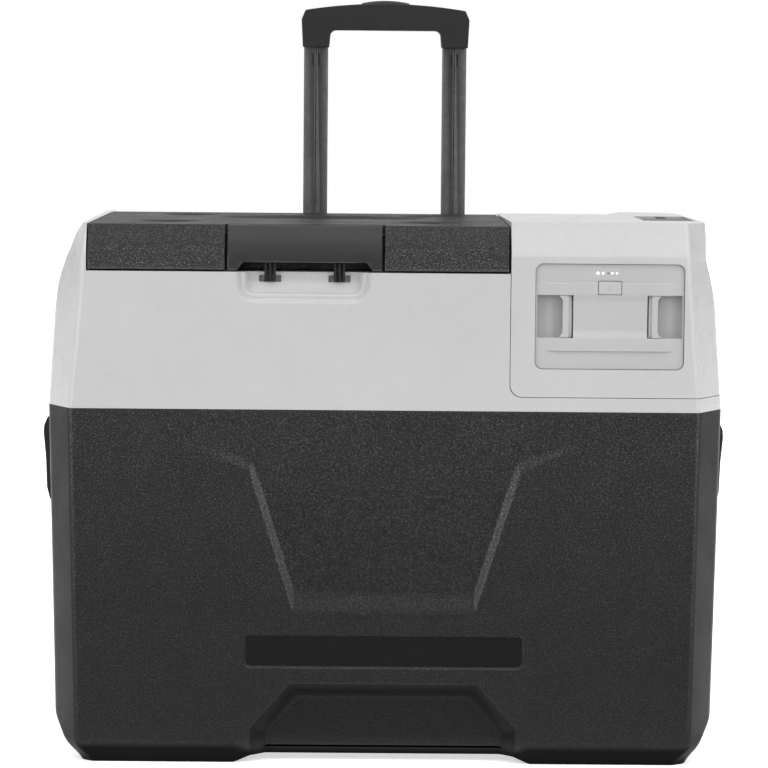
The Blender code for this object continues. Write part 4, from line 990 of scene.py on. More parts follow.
def make_lid():
    profile = lid_profile()
    rows = []
    for x in spread((lid_low.x, lid_low.x + 0.004, 0.002), (lid_low.x + 0.004, lid_high.x - 0.004, 0.0035),
                    (lid_high.x - 0.004, lid_high.x, 0.002)):
        rows.append([(x, y, z - (lid_top_depth(x, y) if z > LID_TOP - 0.0001 else 0.0)) for y, z in profile])
    cover = skin("lid", rows)
    wall = 0.003
    inner = [
        (FRONT + wall, LID_BOTTOM - 0.01), (FRONT + wall, LID_CREASE),
        (FRONT + LID_LEAN + wall, LID_TOP - 0.006), (lid_back() - 0.007, LID_TOP - 0.006),
        (lid_back() - wall, LID_TOP - 0.009), (lid_back() - wall, LID_BOTTOM - 0.01),
    ]
    hollow = prism("hollow", inner, "X", lid_low.x + wall, lid_high.x - wall)
    pocket_left = latch_low.x - 0.003
    pocket_right = latch_high.x + 0.003
    pocket_back = FRONT + 0.0312
    cut(
        hollow,
        blocks(
            "pocket_boss",
            ((pocket_left - wall, FRONT - 0.02, 0.4), (pocket_right + wall, pocket_back + wall, 0.6)),
        ),
    )
    cut(cover, hollow, blocks("pocket", ((pocket_left, FRONT - 0.02, 0.4), (pocket_right, pocket_back, 0.6))))
    for name in ("left", "right"):
        low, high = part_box(f"hinge_pin_{name}")
        centre = (low + high) / 2
        join(cover, rod("knuckle", centre, (1, 0, 0), 0.0055, 0.034, 32))
        cut(cover, rod("knuckle_bore", centre, (1, 0, 0), 0.0023, 0.05, 24))
    low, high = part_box("latch_pin")
    cut(cover, rod("pin_hole", (low + high) / 2, (1, 0, 0), 0.0023, high.x - low.x + 0.001, 24))
    tidy(cover, 0)
    soften(cover, 0.001, 3, 42)
    mark_grain_and_shade(cover, lid_grain)
    shade(cover, 40)
    present(cover, "lid_moulding", "lid", "lid_cover")


def lid_grain(x, y, z):
    """The grain is stronger below the crease of the lid's front, and softer on top."""
    if z > LID_TOP - 0.006 and y > FRONT + 0.01:
        return 0.78
    return 1.0 - 0.25 * smooth_step((z - LID_CREASE + 0.003) / 0.006)


# ---------------------------------------------------------------- latch
def make_latch():
    low, high = latch_low, latch_high
    middle = (low.x + high.x) / 2
    pin_low, pin_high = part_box("latch_pin")
    pin = (pin_low + pin_high) / 2
    face = FRONT + 0.0003
    back = FRONT + 0.027
    corners = [
        (face, LID_BOTTOM), (face, LID_CREASE), (FRONT + LID_LEAN, LID_TOP - 0.0003),
        (back, LID_TOP - 0.0003), (back, LID_TOP - 0.006), (FRONT + 0.0145, LID_TOP - 0.006),
        (FRONT + 0.0052, LID_CREASE + 0.002), (FRONT + 0.0052, LID_BOTTOM),
    ]
    found = arcs(corners, [0, 0.045, 0.0035, 0.002, 0.0006, 0.002, 0.002, 0])
    profile = [tuple(found[0][0])]
    profile += [(face, z) for z in spread((LID_BOTTOM + 0.0015, found[1][0].y - 0.001, 0.0012))]
    profile += [tuple(point) for arc in found[1:] for point in arc]
    rows = []
    for x in spread(
        (low.x, low.x + 0.03, 0.0015), (low.x + 0.03, high.x - 0.03, 0.006),
        (high.x - 0.03, high.x, 0.0015),
    ):
        row = []
        for y, z in profile:
            if y < FRONT + 0.004:
                for side in (low.x + 0.0165, high.x - 0.0165):
                    away = math.hypot((x - side) / 0.0075, (z - LID_BOTTOM - 0.0075) / 0.0075)
                    y += 0.0022 * smooth_step(1 - away)
            row.append((x, y, z))
        rows.append(row)
    paddle = skin("paddle", rows)
    join(paddle, rod("barrel", (middle, pin.y, pin.z), (1, 0, 0), 0.005, high.x - low.x, 32))
    scoop = rounded([
        (low.x + 0.008, 0.47), (low.x + 0.0095, LID_BOTTOM + 0.0005), (low.x + 0.015, LID_BOTTOM + 0.0076),
        (high.x - 0.015, LID_BOTTOM + 0.0076), (high.x - 0.0095, LID_BOTTOM + 0.0005), (high.x - 0.008, 0.47),
    ], [0, 0.004, 0.004, 0.004, 0.004, 0])
    cut(
        paddle, rod("bore", (middle, pin.y, pin.z), (1, 0, 0), 0.0023, high.x - low.x + 0.01, 24),
        prism("scoop", scoop, "Y", FRONT - 0.01, FRONT + 0.0065),
        blocks(
            "spring_room",
            (
                (middle - 0.006, pin.y - 0.0075, pin.z - 0.01),
                (middle + 0.006, pin.y + 0.0075, LID_TOP - 0.0062),
            ),
        ),
    )
    tidy(paddle, 0)
    soften(paddle, 0.0007, 3, 42)
    shade(paddle, 40)
    present(paddle, "latch_lever", "latch", "latch_paddle")

    hook_low, hook_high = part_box("latch_hooks")
    web = blocks("web", ((hook_low.x, hook_low.y, 0.4975), (hook_high.x, hook_low.y + 0.0029, hook_high.z)))
    for x in hook_places():
        base = (hook_low.y + 0.001, hook_low.y + 0.004)
        tongue = blocks("tongue", ((x - 0.0055, base[0], hook_low.z), (x + 0.0055, base[1], 0.499)))
        ribs = blocks(
            "ribs",
            *[
                (
                    (x + shift - 0.0011, hook_low.y, hook_low.z + 0.0004),
                    (x + shift + 0.0011, base[1] - 0.0004, 0.4994),
                )
                for shift in (-0.0044, 0.0, 0.0044)
            ],
        )
        nose = blocks(
            "nose",
            (
                (x - 0.0051, base[1] - 0.0008, hook_low.z + 0.0012),
                (x + 0.0051, hook_high.y, hook_low.z + 0.0048),
            ),
        )
        join(web, tongue, ribs, nose)
    tidy(web)
    soften(web, 0.0004, 2, 40)
    shade(web)
    present(web, "latch_hook_pair", "hook", "latch_hooks")


# ---------------------------------------------------------------- battery
def battery_sizes():
    tab_low, tab_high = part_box("battery_tab_left")
    return tab_low.z - GAP, tab_high.z + GAP


def faded(x, low, high, fade):
    return smooth_step((x - low) / fade) * smooth_step((high - x) / fade)


def battery_face_depth(x, z):
    """The face stands back a little from two soft bars, one above and one below the grasp band."""
    band_low, band_high = battery_sizes()
    across = faded(x, battery_low.x + 0.008, battery_high.x - 0.008, 0.014)
    upper = smooth_step((battery_high.z - 0.018 - z) / 0.001) * smooth_step((z - band_high + 0.004) / 0.002)
    lower = smooth_step((z - band_low + 0.013) / 0.0005) * smooth_step((band_low + 0.004 - z) / 0.002)
    return 0.002 * (1 - across * max(upper, lower))


def make_battery():
    low, high = battery_low, battery_high
    band_low, band_high = battery_sizes()
    plate_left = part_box("battery_tab_left")[1].x + 0.0013
    plate_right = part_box("battery_tab_right")[0].x - 0.0013
    face = FRONT + 0.0003
    case = grid_block("case", low, high, face, battery_face_depth)
    outline = rounded(box_outline(low.xz, high.xz), 0.007, 8)
    keep(case, prism("case_outline", outline, "Y", FRONT - 0.01, high.y))
    button_low, button_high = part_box("battery_button")
    lamp_low, lamp_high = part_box("battery_leds")
    tracks = []
    for edge, inner in ((plate_left, plate_left + 0.004), (plate_right, plate_right - 0.004)):
        ends = sorted((edge - (0.005 if inner > edge else -0.005), inner))
        tracks.append(((ends[0], FRONT + 0.0034, band_low), (ends[1], TAB_BACK + 0.001, band_high)))
    cut(
        case, finger_hollow("hollow_left", low.x + 0.0015, plate_left, band_low, band_high, 1),
        finger_hollow("hollow_right", high.x - 0.0015, plate_right, band_low, band_high, -1),
        blocks("tracks", *tracks),
        prism(
            "button_well", rounded(box_outline(button_low.xz, button_high.xz, -0.0006), 0.0012), "Y",
            FRONT - 0.01, FRONT + 0.006,
        ),
        blocks(
            "cell_room",
            (
                (low.x + 0.0044, FRONT + 0.027, low.z + 0.0046),
                (high.x - 0.0046, high.y - 0.004, high.z - 0.0046),
            ),
        ),
        blocks("contact_room", ((0.2, high.y - 0.006, 0.435), (0.238, high.y + 0.004, 0.451))),
        *[
            rod(
                "lamp_hole", (x, FRONT, (lamp_low.z + lamp_high.z) / 2), (0, 1, 0), radius + 0.0001,
                0.008, 24,
            )
            for x, radius, _ in lamp_places()
        ],
    )
    tidy(case, 0)
    soften(case, 0.0003, 2, 42)
    shade(case, 35)
    present(case, "battery_shell", "battery", "battery_case")

    for name, side in (("left", 1), ("right", -1)):
        tab_low, tab_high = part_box(f"battery_tab_{name}")
        width = tab_high.x - tab_low.x
        flare = 0.003
        half = rounded([
            (width, tab_low.z), (width, tab_high.z), (-flare, tab_high.z), (-flare, tab_high.z - 0.001),
            (0.0, tab_high.z - 0.0042), (0.0, tab_low.z + 0.0042), (-flare, tab_low.z + 0.001),
            (-flare, tab_low.z),
        ], [0, 0, 0, 0, 0.004, 0.004, 0, 0])
        outline = [(tab_low.x + x, z) if side > 0 else (tab_high.x - x, z) for x, z in half]
        tab = prism("tab", outline, "Y", tab_low.y - 0.0012, TAB_BACK)
        outline_edge = tab_high.x if side > 0 else tab_low.x
        edges = sorted((outline_edge - side * 0.0033, outline_edge + side * 0.001))
        cut(tab, blocks("step", ((edges[0], FRONT - 0.01, 0.4), (edges[1], FRONT + 0.0036, 0.5))))
        tidy(tab, 0)
        soften(tab, 0.0004, 2, 40)
        shade(tab)
        present(tab, f"release_tab_{name}", "battery", f"battery_tab_{name}")
    make_battery_button(button_low, button_high)
    make_lamps(lamp_low, lamp_high)


def grid_block(name, low, high, face, depth_at):
    """A block whose front is a fine grid, pushed back by depth_at."""
    xs = spread((low.x - 0.001, high.x + 0.001, 0.002))
    zs = spread((low.z - 0.001, low.z + 0.015, 0.002), (low.z + 0.015, low.z + 0.021, 0.0003),
                (low.z + 0.021, high.z - 0.022, 0.003), (high.z - 0.022, high.z - 0.015, 0.0004),
                (high.z - 0.015, high.z + 0.001, 0.003))
    count = len(xs)
    points = [(x, face + depth_at(x, z), z) for z in zs for x in xs]
    faces = []
    for row in range(len(zs) - 1):
        for column in range(count - 1):
            here = row * count + column
            faces.append((here, here + 1, here + count + 1, here + count))
    base = len(points)
    points += [(x, high.y, z) for x, z in (
        (xs[0], zs[0]), (xs[-1], zs[0]), (xs[-1], zs[-1]), (xs[0], zs[-1]),
    )]
    last = (len(zs) - 1) * count
    faces.append((base, base + 1, base + 2, base + 3))
    faces.append((*range(0, count), base + 1, base))
    faces.append((*range(last, last + count), base + 2, base + 3))
    faces.append((*range(0, last + 1, count), base + 3, base))
    faces.append((*range(count - 1, last + count, count), base + 2, base + 1))
    return from_faces(name, points, faces)


def finger_hollow(name, outer, inner, bottom, top, side):
    """A hollow for the fingers whose floor is a smooth scoop, deepest next to the squeeze tab."""
    steps = 18
    outline = [(outer, FRONT - 0.01)]
    for step in range(steps + 1):
        share = step / steps
        x = outer + (inner - side * 0.004 - outer) * share
        depth = 0.0125 - 0.003 * math.sin(math.pi * share) + 0.003 * share
        outline.append((x, FRONT + depth))
    outline += [(inner, TAB_BACK + 0.001), (inner, FRONT - 0.01)]
    return prism(name, outline, "Z", bottom, top)


def make_battery_button(low, high):
    outline = rounded(box_outline(low.xz, high.xz), 0.0011)
    button = prism("button", outline, "Y", low.y, high.y)
    middle = ((low.x + high.x) / 2, (low.z + high.z) / 2 - 0.0004)
    ring = [
        (middle[0] + radius * math.sin(angle), middle[1] + radius * math.cos(angle))
        for radius, start, end in ((0.0024, 0.62, math.tau - 0.62), (0.0018, math.tau - 0.62, 0.62))
        for angle in [start + (end - start) * step / 24 for step in range(25)]
    ]
    cut(
        button, prism("ring", ring, "Y", low.y - 0.001, low.y + 0.0003),
        blocks(
            "stroke",
            (
                (middle[0] - 0.0003, low.y - 0.001, middle[1] + 0.0002),
                (middle[0] + 0.0003, low.y + 0.0003, middle[1] + 0.003),
            ),
        ),
    )
    tidy(button)
    soften(button, 0.0003, 2, 50)
    shade(button)
    present(button, "power_button", "battery", "battery_button")


def lamp_places():
    """Five lamps in a row: the middle of each, its radius and whether it is lit."""
    low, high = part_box("battery_leds")
    start = low.x + 0.0013
    return (
        (start, 0.0013, True), (start + 0.005, 0.0011, True), (start + 0.01, 0.0008, False),
        (start + 0.014, 0.0009, True), (start + 0.0185, 0.0009, True),
    )


def make_lamps(low, high):
    build = bmesh.new()
    places = lamp_places()
    for x, radius, lit in places:
        place = Matrix.Translation((x, low.y + 0.0012, (low.z + high.z) / 2)) @ turn_to((0, -1, 0))
        bmesh.ops.create_uvsphere(
            build, u_segments=16, v_segments=8, radius=radius, matrix=place @ Matrix.Diagonal((1, 1, 0.5, 1)),
        )
    lamps = from_bmesh("lamps", build)
    shade(lamps)
    present(lamps, "charge_lamps", "lamp_on", "battery_leds")
    lamps.data.materials.append(LOOKS["lamp_off"])
    for face in lamps.data.polygons:
        nearest = min(places, key=lambda place: abs(place[0] - face.center.x))
        face.material_index = 0 if nearest[2] else 1


# ---------------------------------------------------------------- display
def make_display():
    low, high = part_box("display_bezel")
    lens_low, lens_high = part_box("display_lens")
    bezel = blocks("bezel", (low, high))
    keys = [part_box(f"panel_button_{number}") for number in range(1, 5)]
    well = skin("well", [
        [(x, y, z) for x, y in rounded(box_outline(low.xy, high.xy, inset), 0.003)]
        for inset, z in ((0.0022, low.z + 0.0035), (0.0012, high.z + 0.001))
    ])
    holes = [
        rod("key_hole", (key_low + key_high) / 2, (0, 0, 1), (key_high.x - key_low.x) / 2 + GAP, 0.03, 32)
        for key_low, key_high in keys
    ]
    cut(bezel, well, *holes)
    tidy(bezel)
    soften(bezel, 0.0006, 2, 35)
    shade(bezel)
    present(bezel, "display_frame", "panel", "display_bezel")

    lens = skin("lens", [
        [(x, y, z) for x, y in rounded(
            box_outline(lens_low.xy, lens_high.xy, inset), 0.003,
        )]
        for inset, z in ((0.0006, lens_low.z), (0.0006, lens_high.z - 0.0006), (0.001, lens_high.z))
    ])
    shade(lens)
    present(lens, "display_window", "screen", "display_lens")
    for number, (key_low, key_high) in enumerate(keys, 1):
        radius = (key_high.x - key_low.x) / 2
        centre = (key_low + key_high) / 2
        top = key_high.z - centre.z
        profile = [
            (0.00001, -top), (radius, -top), (radius, top - 0.0008), (radius - 0.0002, top - 0.0003),
            (radius - 0.0008, top), (radius - 0.002, top - 0.0002), (0.00001, top - 0.0008),
        ]
        key = turned("key", profile, centre, (0, 0, 1), 40)
        tidy(key, 0)
        shade(key)
        present(key, f"panel_key_{number}", "trim", f"panel_button_{number}")


# ---------------------------------------------------------------- pull handle
def make_pull_handle():
    for name in ("left", "right"):
        low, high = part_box(f"handle_tube_{name}")
        x = (low.x + high.x) / 2
        half = (high.x - low.x) / 2
        front = low.y
        back = high.y
        outline = rounded([
            (x - half, front + 0.0034), (x - half + 0.0016, front + 0.0024), (x - 0.0007, front),
            (x, front + 0.0012), (x + 0.0007, front), (x + half - 0.0016, front + 0.0024),
            (x + half, front + 0.0034),
            (x + half, back), (x - half, back),
        ], [0.0008, 0.001, 0.0002, 0.0002, 0.0002, 0.001, 0.0008, 0.002, 0.002], 3)
        tube = prism("tube", outline, "Z", low.z, high.z)
        bore = rounded(
            box_outline((x - half + 0.0015, front + 0.005), (x + half - 0.0015, back - 0.0015)), 0.001,
        )
        slots = [
            prism("slot",
                  rounded(box_outline((x + shift - 0.0008, 0.688), (x + shift + 0.0008, 0.701)), 0.0007, 3),
                  "Y", front - 0.01, front + 0.0034)
            for shift in (-0.003, 0.003)
        ]
        cut(tube, prism("bore", bore, "Z", 0.1, 0.9), *slots)
        tidy(tube)
        shade(tube, 30)
        present(tube, f"telescopic_tube_{name}", "tube", f"handle_tube_{name}")

    low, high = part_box("grip_front")
    rear_low, rear_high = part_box("grip_rear")
    leg_bottom = low.z
    corner = 0.738
    inner = 0.06
    outline = [(-0.089, leg_bottom), (-0.0905, corner)]
    outline += [(x, 0.748 + 0.007 * (1 - (x / 0.086) ** 2)) for x in spread((-0.0862, 0.0862, 0.0086))]
    outline += [
        (0.0905, corner), (0.089, leg_bottom), (inner + 0.0005, leg_bottom), (inner - 0.001, 0.7262),
        (-inner + 0.001, 0.7262), (-inner - 0.0005, leg_bottom),
    ]
    radii = [0.001, 0.004] + [0.03] * (len(outline) - 8) + [0.004, 0.001, 0.001, 0.0065, 0.0065, 0.001]
    radii[2] = 0.003
    radii[-7] = 0.003
    outline = rounded(outline, radii)
    for name, node_name, front, back in (
        ("grip_shell_front", "grip_front", low.y, high.y),
        ("grip_shell_rear", "grip_rear", rear_low.y, rear_high.y),
    ):
        half = prism("half", outline, "Y", front, back)
        outside = front if node_name == "grip_front" else back
        build = bmesh.new()
        build.from_mesh(half.data)
        rim = [
            edge for edge in build.edges
            if all(abs(vert.co.y - outside) < 0.00001 for vert in edge.verts) and len(edge.link_faces) == 2
        ]
        bmesh.ops.bevel(
            build, geom=rim, offset=0.0036, segments=5, profile=0.5, affect="EDGES", clamp_overlap=True,
        )
        build.to_mesh(half.data)
        build.free()
        sockets = []
        for tube in ("left", "right"):
            tube_low, tube_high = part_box(f"handle_tube_{tube}")
            sockets.append((tube_low - Vector((GAP, GAP, 0.02)), tube_high + Vector((GAP, GAP, 0.0005))))
        button_low, button_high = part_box("grip_button")
        room = Vector((0.0005, 0.0004, 0.005))
        cut(half, blocks("sockets", *sockets), blocks("button_room", (button_low - room, button_high + room)))
        tidy(half, 0)
        shade(half, 38)
        present(half, name, "grip", node_name)

    button_low, button_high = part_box("grip_button")
    arch = [(button_low.x, button_low.z), (button_high.x, button_low.z)]
    for x in spread((-button_high.x, -button_low.x, 0.0026)):
        arch.append((-x, button_high.z - 0.003 * (x / button_high.x) ** 2))
    button = prism("button", arch, "Y", button_low.y, button_high.y)
    soften(button, 0.0022, 4, 35)
    shade(button)
    present(button, "release_button", "trim", "grip_button")


# ---------------------------------------------------------------- wheels
def make_wheels():
    for name, side in (("left", -1), ("right", 1)):
        low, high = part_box(f"wheel_tyre_{name}")
        centre = (low + high) / 2
        radius = (high.z - low.z) / 2
        half = (high.x - low.x) / 2
        rim = radius - 0.014
        profile = [
            (rim, half - 0.002), (radius - 0.008, half), (radius - 0.003, half - 0.0012),
            (radius - 0.0006, half - 0.005), (radius, 0.007), (radius, 0.003), (radius - 0.0016, 0.0022),
            (radius - 0.0016, -0.0022), (radius, -0.003), (radius, -0.007),
            (radius - 0.0006, -half + 0.005), (radius - 0.003, -half + 0.0012), (radius - 0.008, -half),
            (rim, -half + 0.002),
        ]
        tyre = turned("tyre", profile, centre, (1, 0, 0), 96)
        shade(tyre, 50)
        present(tyre, f"tyre_{name}", "tyre", f"wheel_tyre_{name}")

        hub_low, hub_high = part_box(f"wheel_hub_{name}")
        wide = (hub_high.x - hub_low.x) / 2
        bore = 0.0043
        hub_profile = [
            (bore, wide), (0.0095, wide), (0.011, wide - 0.002), (0.012, wide - 0.007),
            (rim - 0.006, wide - 0.008),
            (rim - 0.0035, wide - 0.002), (rim - GAP, wide - 0.002), (rim - GAP, -wide + 0.002),
            (rim - 0.0035, -wide + 0.002), (rim - 0.006, -wide + 0.008), (0.012, -wide + 0.007),
            (0.011, -wide + 0.002), (0.0095, -wide), (bore, -wide),
        ]
        hub = turned("hub", hub_profile, centre, (1, 0, 0), 64)
        spokes = 6
        for number in range(spokes):
            turn = Matrix.Rotation(math.tau * (number + 0.5) / spokes, 4, "X")
            outline = rounded(
                [(-0.0048, 0.0155), (0.0048, 0.0155), (0.0072, rim - 0.0085), (-0.0072, rim - 0.0085)],
                0.0016,
            )
            hole = prism("hole", outline, "X", -0.05, 0.05)
            hole.data.transform(Matrix.Translation(centre) @ turn)
            cut(hub, hole)
        tidy(hub, 0)
        soften(hub, 0.0006, 2, 40)
        shade(hub, 35)
        present(hub, f"hub_{name}", "trim", f"wheel_hub_{name}")


# ---------------------------------------------------------------- side handles and grilles
def make_side_handles():
    for name, side, inner in (("left", -1, 0.3317), ("right", 1, 0.3336)):
        low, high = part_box(f"side_handle_{name}")
        wedge = [
            (inner, 0.3328), (0.3385, 0.3318), (0.3424, 0.3225), (0.3428, 0.315), (0.3405, 0.29),
            (0.3394, 0.26), (0.3362, 0.247), (inner - 0.0015, 0.2462),
        ]
        outline = rounded(
            [(side * x, z) for x, z in wedge], [0.0005, 0.004, 0.008, 0.01, 0.02, 0.01, 0.003, 0.0005], 5,
        )
        lip = prism("lip", outline, "Y", low.y, high.y)
        soften(lip, 0.0022, 4, 50)
        edges = sorted((side * (inner - 0.0282), side * (inner + 0.0013)))
        cup = blocks("cup", ((edges[0], low.y + 0.005, 0.253), (edges[1], high.y - 0.005, 0.327)))
        deep = inner - 0.0257
        pocket = [
            (deep, 0.256), (0.36, 0.256), (0.36, 0.307), (0.3385, 0.307), (0.3385, 0.3235),
            (deep, 0.3235),
        ]
        hollow = prism(
            "hollow", rounded([(side * x, z) for x, z in pocket], [0.006, 0, 0, 0.004, 0.003, 0.006]), "Y",
            low.y + 0.008, high.y - 0.008,
        )
        cut(join(lip, cup), hollow)
        tidy(lip)
        soften(lip, 0.0006, 2, 45)
        shade(lip)
        present(lip, f"carry_handle_{name}", "grip", f"side_handle_{name}")


def make_grille(node_name, name, axis, count):
    """A moulded panel with sloping louvres between its frame."""
    low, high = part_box(node_name)
    inset = 0.005
    frame_panel = blocks("panel", (low, high))
    first = "X" if axis == "Y" else "Y"
    if axis == "Y":
        opening = (
            (low.x + inset, low.y - 0.01, low.z + inset), (high.x - inset, high.y + 0.01, high.z - inset),
        )
    else:
        opening = (
            (low.x - 0.01, low.y + inset, low.z + inset), (high.x + 0.01, high.y - inset, high.z - inset),
        )
    cut(frame_panel, blocks("opening", opening))
    pitch = (high.z - low.z - 2 * inset) / count
    outer, inner = (high.y, low.y) if axis == "Y" else (high.x, low.x)
    slats = []
    for number in range(count):
        z = low.z + inset + pitch * (number + 0.5)
        outline = [
            (outer - 0.0003, z - 0.0016), (outer - 0.0003, z - 0.0002), (inner + 0.0003, z + 0.003),
            (inner + 0.0003, z + 0.0016),
        ]
        if axis == "Y":
            slats.append(prism("slat", outline, "X", low.x + 0.001, high.x - 0.001))
        else:
            slats.append(prism("slat", outline, "Y", low.y + 0.001, high.y - 0.001))
    for slat in slats:
        join(frame_panel, slat)
    centre = (low + high) / 2
    if axis == "Y":
        posts = [
            (
                (centre.x - 0.0015, low.y + 0.0002, low.z + 0.002),
                (centre.x + 0.0015, high.y - 0.0008, high.z - 0.002),
            )
        ]
    else:
        posts = [
            (
                (low.x + 0.0002, centre.y - 0.0015, low.z + 0.002),
                (high.x - 0.0008, centre.y + 0.0015, high.z - 0.002),
            )
        ]
    join(frame_panel, blocks("posts", *posts))
    tidy(frame_panel)
    soften(frame_panel, 0.0003, 2, 40)
    shade(frame_panel)
    present(frame_panel, name, "trim", node_name)


# ---------------------------------------------------------------- liner, gasket, inlet, hinges
def make_liner():
    low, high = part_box("cabin_liner")
    edge = Vector((0.0205, 0.0175, 0.0))
    far_edge = Vector((0.0205, 0.0145, 0.0))
    inner_low = low + edge + Vector((0, 0, 0.0025))
    inner_high = high - far_edge
    skin_thickness = 0.0025
    floor_radius = 0.018
    outline = [
        (skin_thickness, low.z), (skin_thickness, high.z - skin_thickness), None, None,
        (0.0021, high.z), (0.0016, high.z - 0.001), (0.0, high.z - 0.004),
    ]
    for step in range(6, -1, -1):
        angle = math.radians(90 * step / 6)
        outline.append(
            (-floor_radius * (1 - math.sin(angle)), inner_low.z + floor_radius * (1 - math.cos(angle)))
        )
    rows = []
    for number, entry in enumerate(outline):
        if entry:
            grow, z = entry
            corners = box_outline(inner_low.xy, inner_high.xy, -grow)
            rows.append([(x, y, z) for x, y in rounded(corners, 0.022 + max(-0.01, grow), 7)])
        else:
            z = high.z - skin_thickness * (3 - number)
            rows.append([(x, y, z) for x, y in rounded(box_outline(low.xy, high.xy), 0.012, 7)])
    tub = skin("tub", rows)
    soften(tub, 0.0006, 2, 45)
    shade(tub, 35)
    present(tub, "cabin_tub", "liner", "cabin_liner")


def make_gasket():
    low, high = gasket_low, gasket_high
    inner = rounded(box_outline((low.x + 0.01, low.y + 0.01), (high.x - 0.01, high.y - 0.008)), 0.01)
    ring = prism("gasket", rounded(box_outline(low.xy, high.xy), 0.014), "Z", low.z, high.z)
    cut(ring, prism("gasket_hole", inner, "Z", 0.4, 0.6))
    groove = prism(
        "groove", rounded(box_outline(low.xy, high.xy, 0.004), 0.011), "Z", low.z - 0.01, low.z + 0.0012,
    )
    cut(groove, prism("groove_inner", rounded(box_outline(low.xy, high.xy, 0.006), 0.01), "Z", 0.4, 0.6))
    cut(ring, groove)
    tidy(ring, 0)
    soften(ring, 0.0006, 2, 40)
    shade(ring)
    present(ring, "lid_seal", "seal", "lid_gasket")


def keep_cad(node_name, look, width=0.0004, angle=35):
    """A CAD part that stays as it is, with softened edges and its own finish."""
    item = frame["nodes"][node_name]
    item.data.materials.clear()
    item.data.materials.append(LOOKS[look])
    if width:
        bevel = item.modifiers.new("Round", "BEVEL")
        bevel.width = width
        bevel.segments = 2
        bevel.limit_method = "ANGLE"
        bevel.angle_limit = math.radians(angle)
    weighted = item.modifiers.new("Weighted", "WEIGHTED_NORMAL")
    weighted.keep_sharp = True


# CAD parts that are kept: finish, width of the softened edges, names.
KEPT = (
    ("liner", 0.0008, "lid_panel"),
    ("foam", 0, "lid_foam insulation_foam"),
    ("aluminium", 0, "evaporator condenser"),
    ("steel", 0, "compressor_tray wheel_axle latch_spring"),
    ("black", 0, "compressor fan_frame fan_rotor"),
    ("aluminium", 0.0004, "motor_controller"),
    ("copper", 0, "filter_drier discharge_pipe suction_pipe"),
    ("board", 0, "control_board"),
    ("cells", 0.001, "battery_cells"),
    ("trim", 0.0006, "battery_bay"),
    ("trim", 0.0008, "battery_connector"),
    ("aluminium", 0.0003, "handle_sleeve_left handle_sleeve_right"),
    ("trim", 0.0004, "handle_bezel"),
    ("pin", 0, "latch_pin"),
    ("steel", 0.0004, "hinge_bracket_left hinge_bracket_right"),
    ("steel", 0.0003, "hinge_pin_left hinge_pin_right"),
    ("trim", 0.0005, "dc_inlet"),
)


# ---------------------------------------------------------------- camera, floor and light
AMBIENT = (0.08, 0.08, 0.08)
SOFTBOXES = (
    ("softbox_left", (-2.35, -1.8, 1.25), (0, -0.1, 0.3), (1.6, 2.2), 47.0),
    ("softbox_right", (2.35, -1.8, 1.25), (0, -0.1, 0.3), (1.6, 2.2), 47.0),
    ("softbox_front", (0.0, -3.2, 1.6), (0, 0, 0.25), (1.8, 0.8), 13.0),
)
SKYLIGHTS = (
    ("sky", (12, 0, 0), 70, 2.7),
)


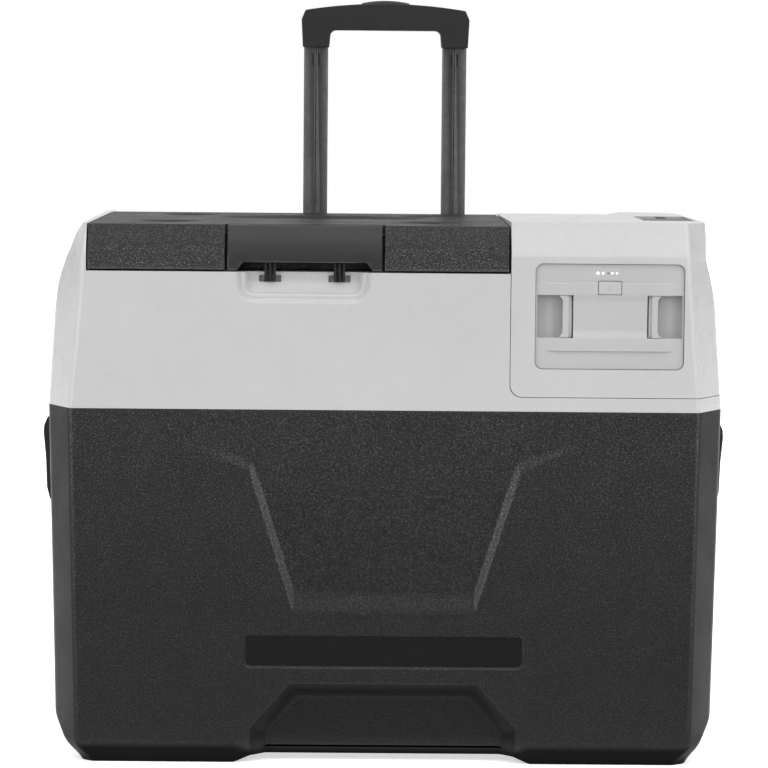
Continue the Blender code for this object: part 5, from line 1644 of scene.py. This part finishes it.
def make_stage():
    floor = skin("floor", [[(x, y, z) for x, y in box_outline((-12, -9), (12, 15))] for z in (-0.02, 0.0)])
    look, tree, shader, place = new_look("floor_pale", 0.9, specular=0.0)
    cloud = noise(tree, place, 2.0, 2.0)
    tint = mixed(tree, ranged(tree, cloud, 0.3, 0.7, 0.0, 1.0), (0.9, 0.9, 0.9), (0.92, 0.92, 0.92))
    parts = tree.nodes.new("ShaderNodeSeparateXYZ")
    wire(tree, place, parts.inputs["Vector"])
    near = ranged(tree, parts.outputs["Y"], -1.1, -0.3, 0.0, 1.0)
    wire(tree, mixed(tree, near, (0.36, 0.36, 0.36), tint), shader.inputs["Base Color"])
    shader.inputs["Emission Color"].default_value = (1.0, 1.0, 1.0, 1.0)
    wire(tree, ranged(tree, parts.outputs["Y"], -0.36, -0.16, 0.0, 0.65), shader.inputs["Emission Strength"])
    floor.data.materials.append(look)

    world = bpy.data.worlds.new("studio")
    bpy.context.scene.world = world
    world.use_nodes = True
    tree = world.node_tree
    backdrop = tree.nodes["Background"]
    backdrop.inputs["Strength"].default_value = 1.0
    direction = tree.nodes.new("ShaderNodeTexCoord").outputs["Generated"]
    parts = tree.nodes.new("ShaderNodeSeparateXYZ")
    wire(tree, direction, parts.inputs["Vector"])
    behind = ranged(tree, parts.outputs["Y"], 0.8, 0.95, 0.0, 1.0, True)
    wire(tree, mixed(tree, behind, AMBIENT, (1.0, 1.0, 1.0)), backdrop.inputs["Color"])

    for name, place, aim, size, power in SOFTBOXES:
        light = bpy.data.lights.new(name, "AREA")
        light.shape = "RECTANGLE"
        light.size, light.size_y = size
        light.energy = power
        holder = bpy.data.objects.new(name, light)
        bpy.context.scene.collection.objects.link(holder)
        holder.location = place
        holder.rotation_euler = (Vector(aim) - Vector(place)).to_track_quat("-Z", "Y").to_euler()
    for name, turn, width, power in SKYLIGHTS:
        light = bpy.data.lights.new(name, "SUN")
        light.angle = math.radians(width)
        light.energy = power
        holder = bpy.data.objects.new(name, light)
        bpy.context.scene.collection.objects.link(holder)
        holder.rotation_euler = [math.radians(angle) for angle in turn]

    camera = bpy.data.cameras.new("camera")
    camera.sensor_width = 36.0
    camera.lens = 164.06
    camera.clip_end = 60.0
    eye = bpy.data.objects.new("camera", camera)
    bpy.context.scene.collection.objects.link(eye)
    turn = Matrix.Rotation(math.radians(-0.36), 4, "Z") @ Matrix.Rotation(math.radians(85.3), 4, "X")
    turn = turn @ Matrix.Rotation(math.radians(0.5), 4, "Z")
    eye.matrix_world = Matrix.Translation((-0.0221, FRONT - 3.4, 0.6558)) @ turn
    bpy.context.scene.camera = eye
    bpy.context.scene.view_settings.view_transform = "Standard"


make_base()
make_upper_shell()
make_machine_cover()
make_lid()
make_latch()
make_battery()
make_display()
make_pull_handle()
make_wheels()
make_side_handles()
make_grille("vent_grille_side", "side_grille", "X", 9)
make_grille("vent_grille_rear", "rear_grille", "Y", 11)
make_liner()
make_gasket()
for kept_look, kept_width, kept_names in KEPT:
    for kept_name in kept_names.split():
        keep_cad(kept_name, kept_look, kept_width)
make_stage()
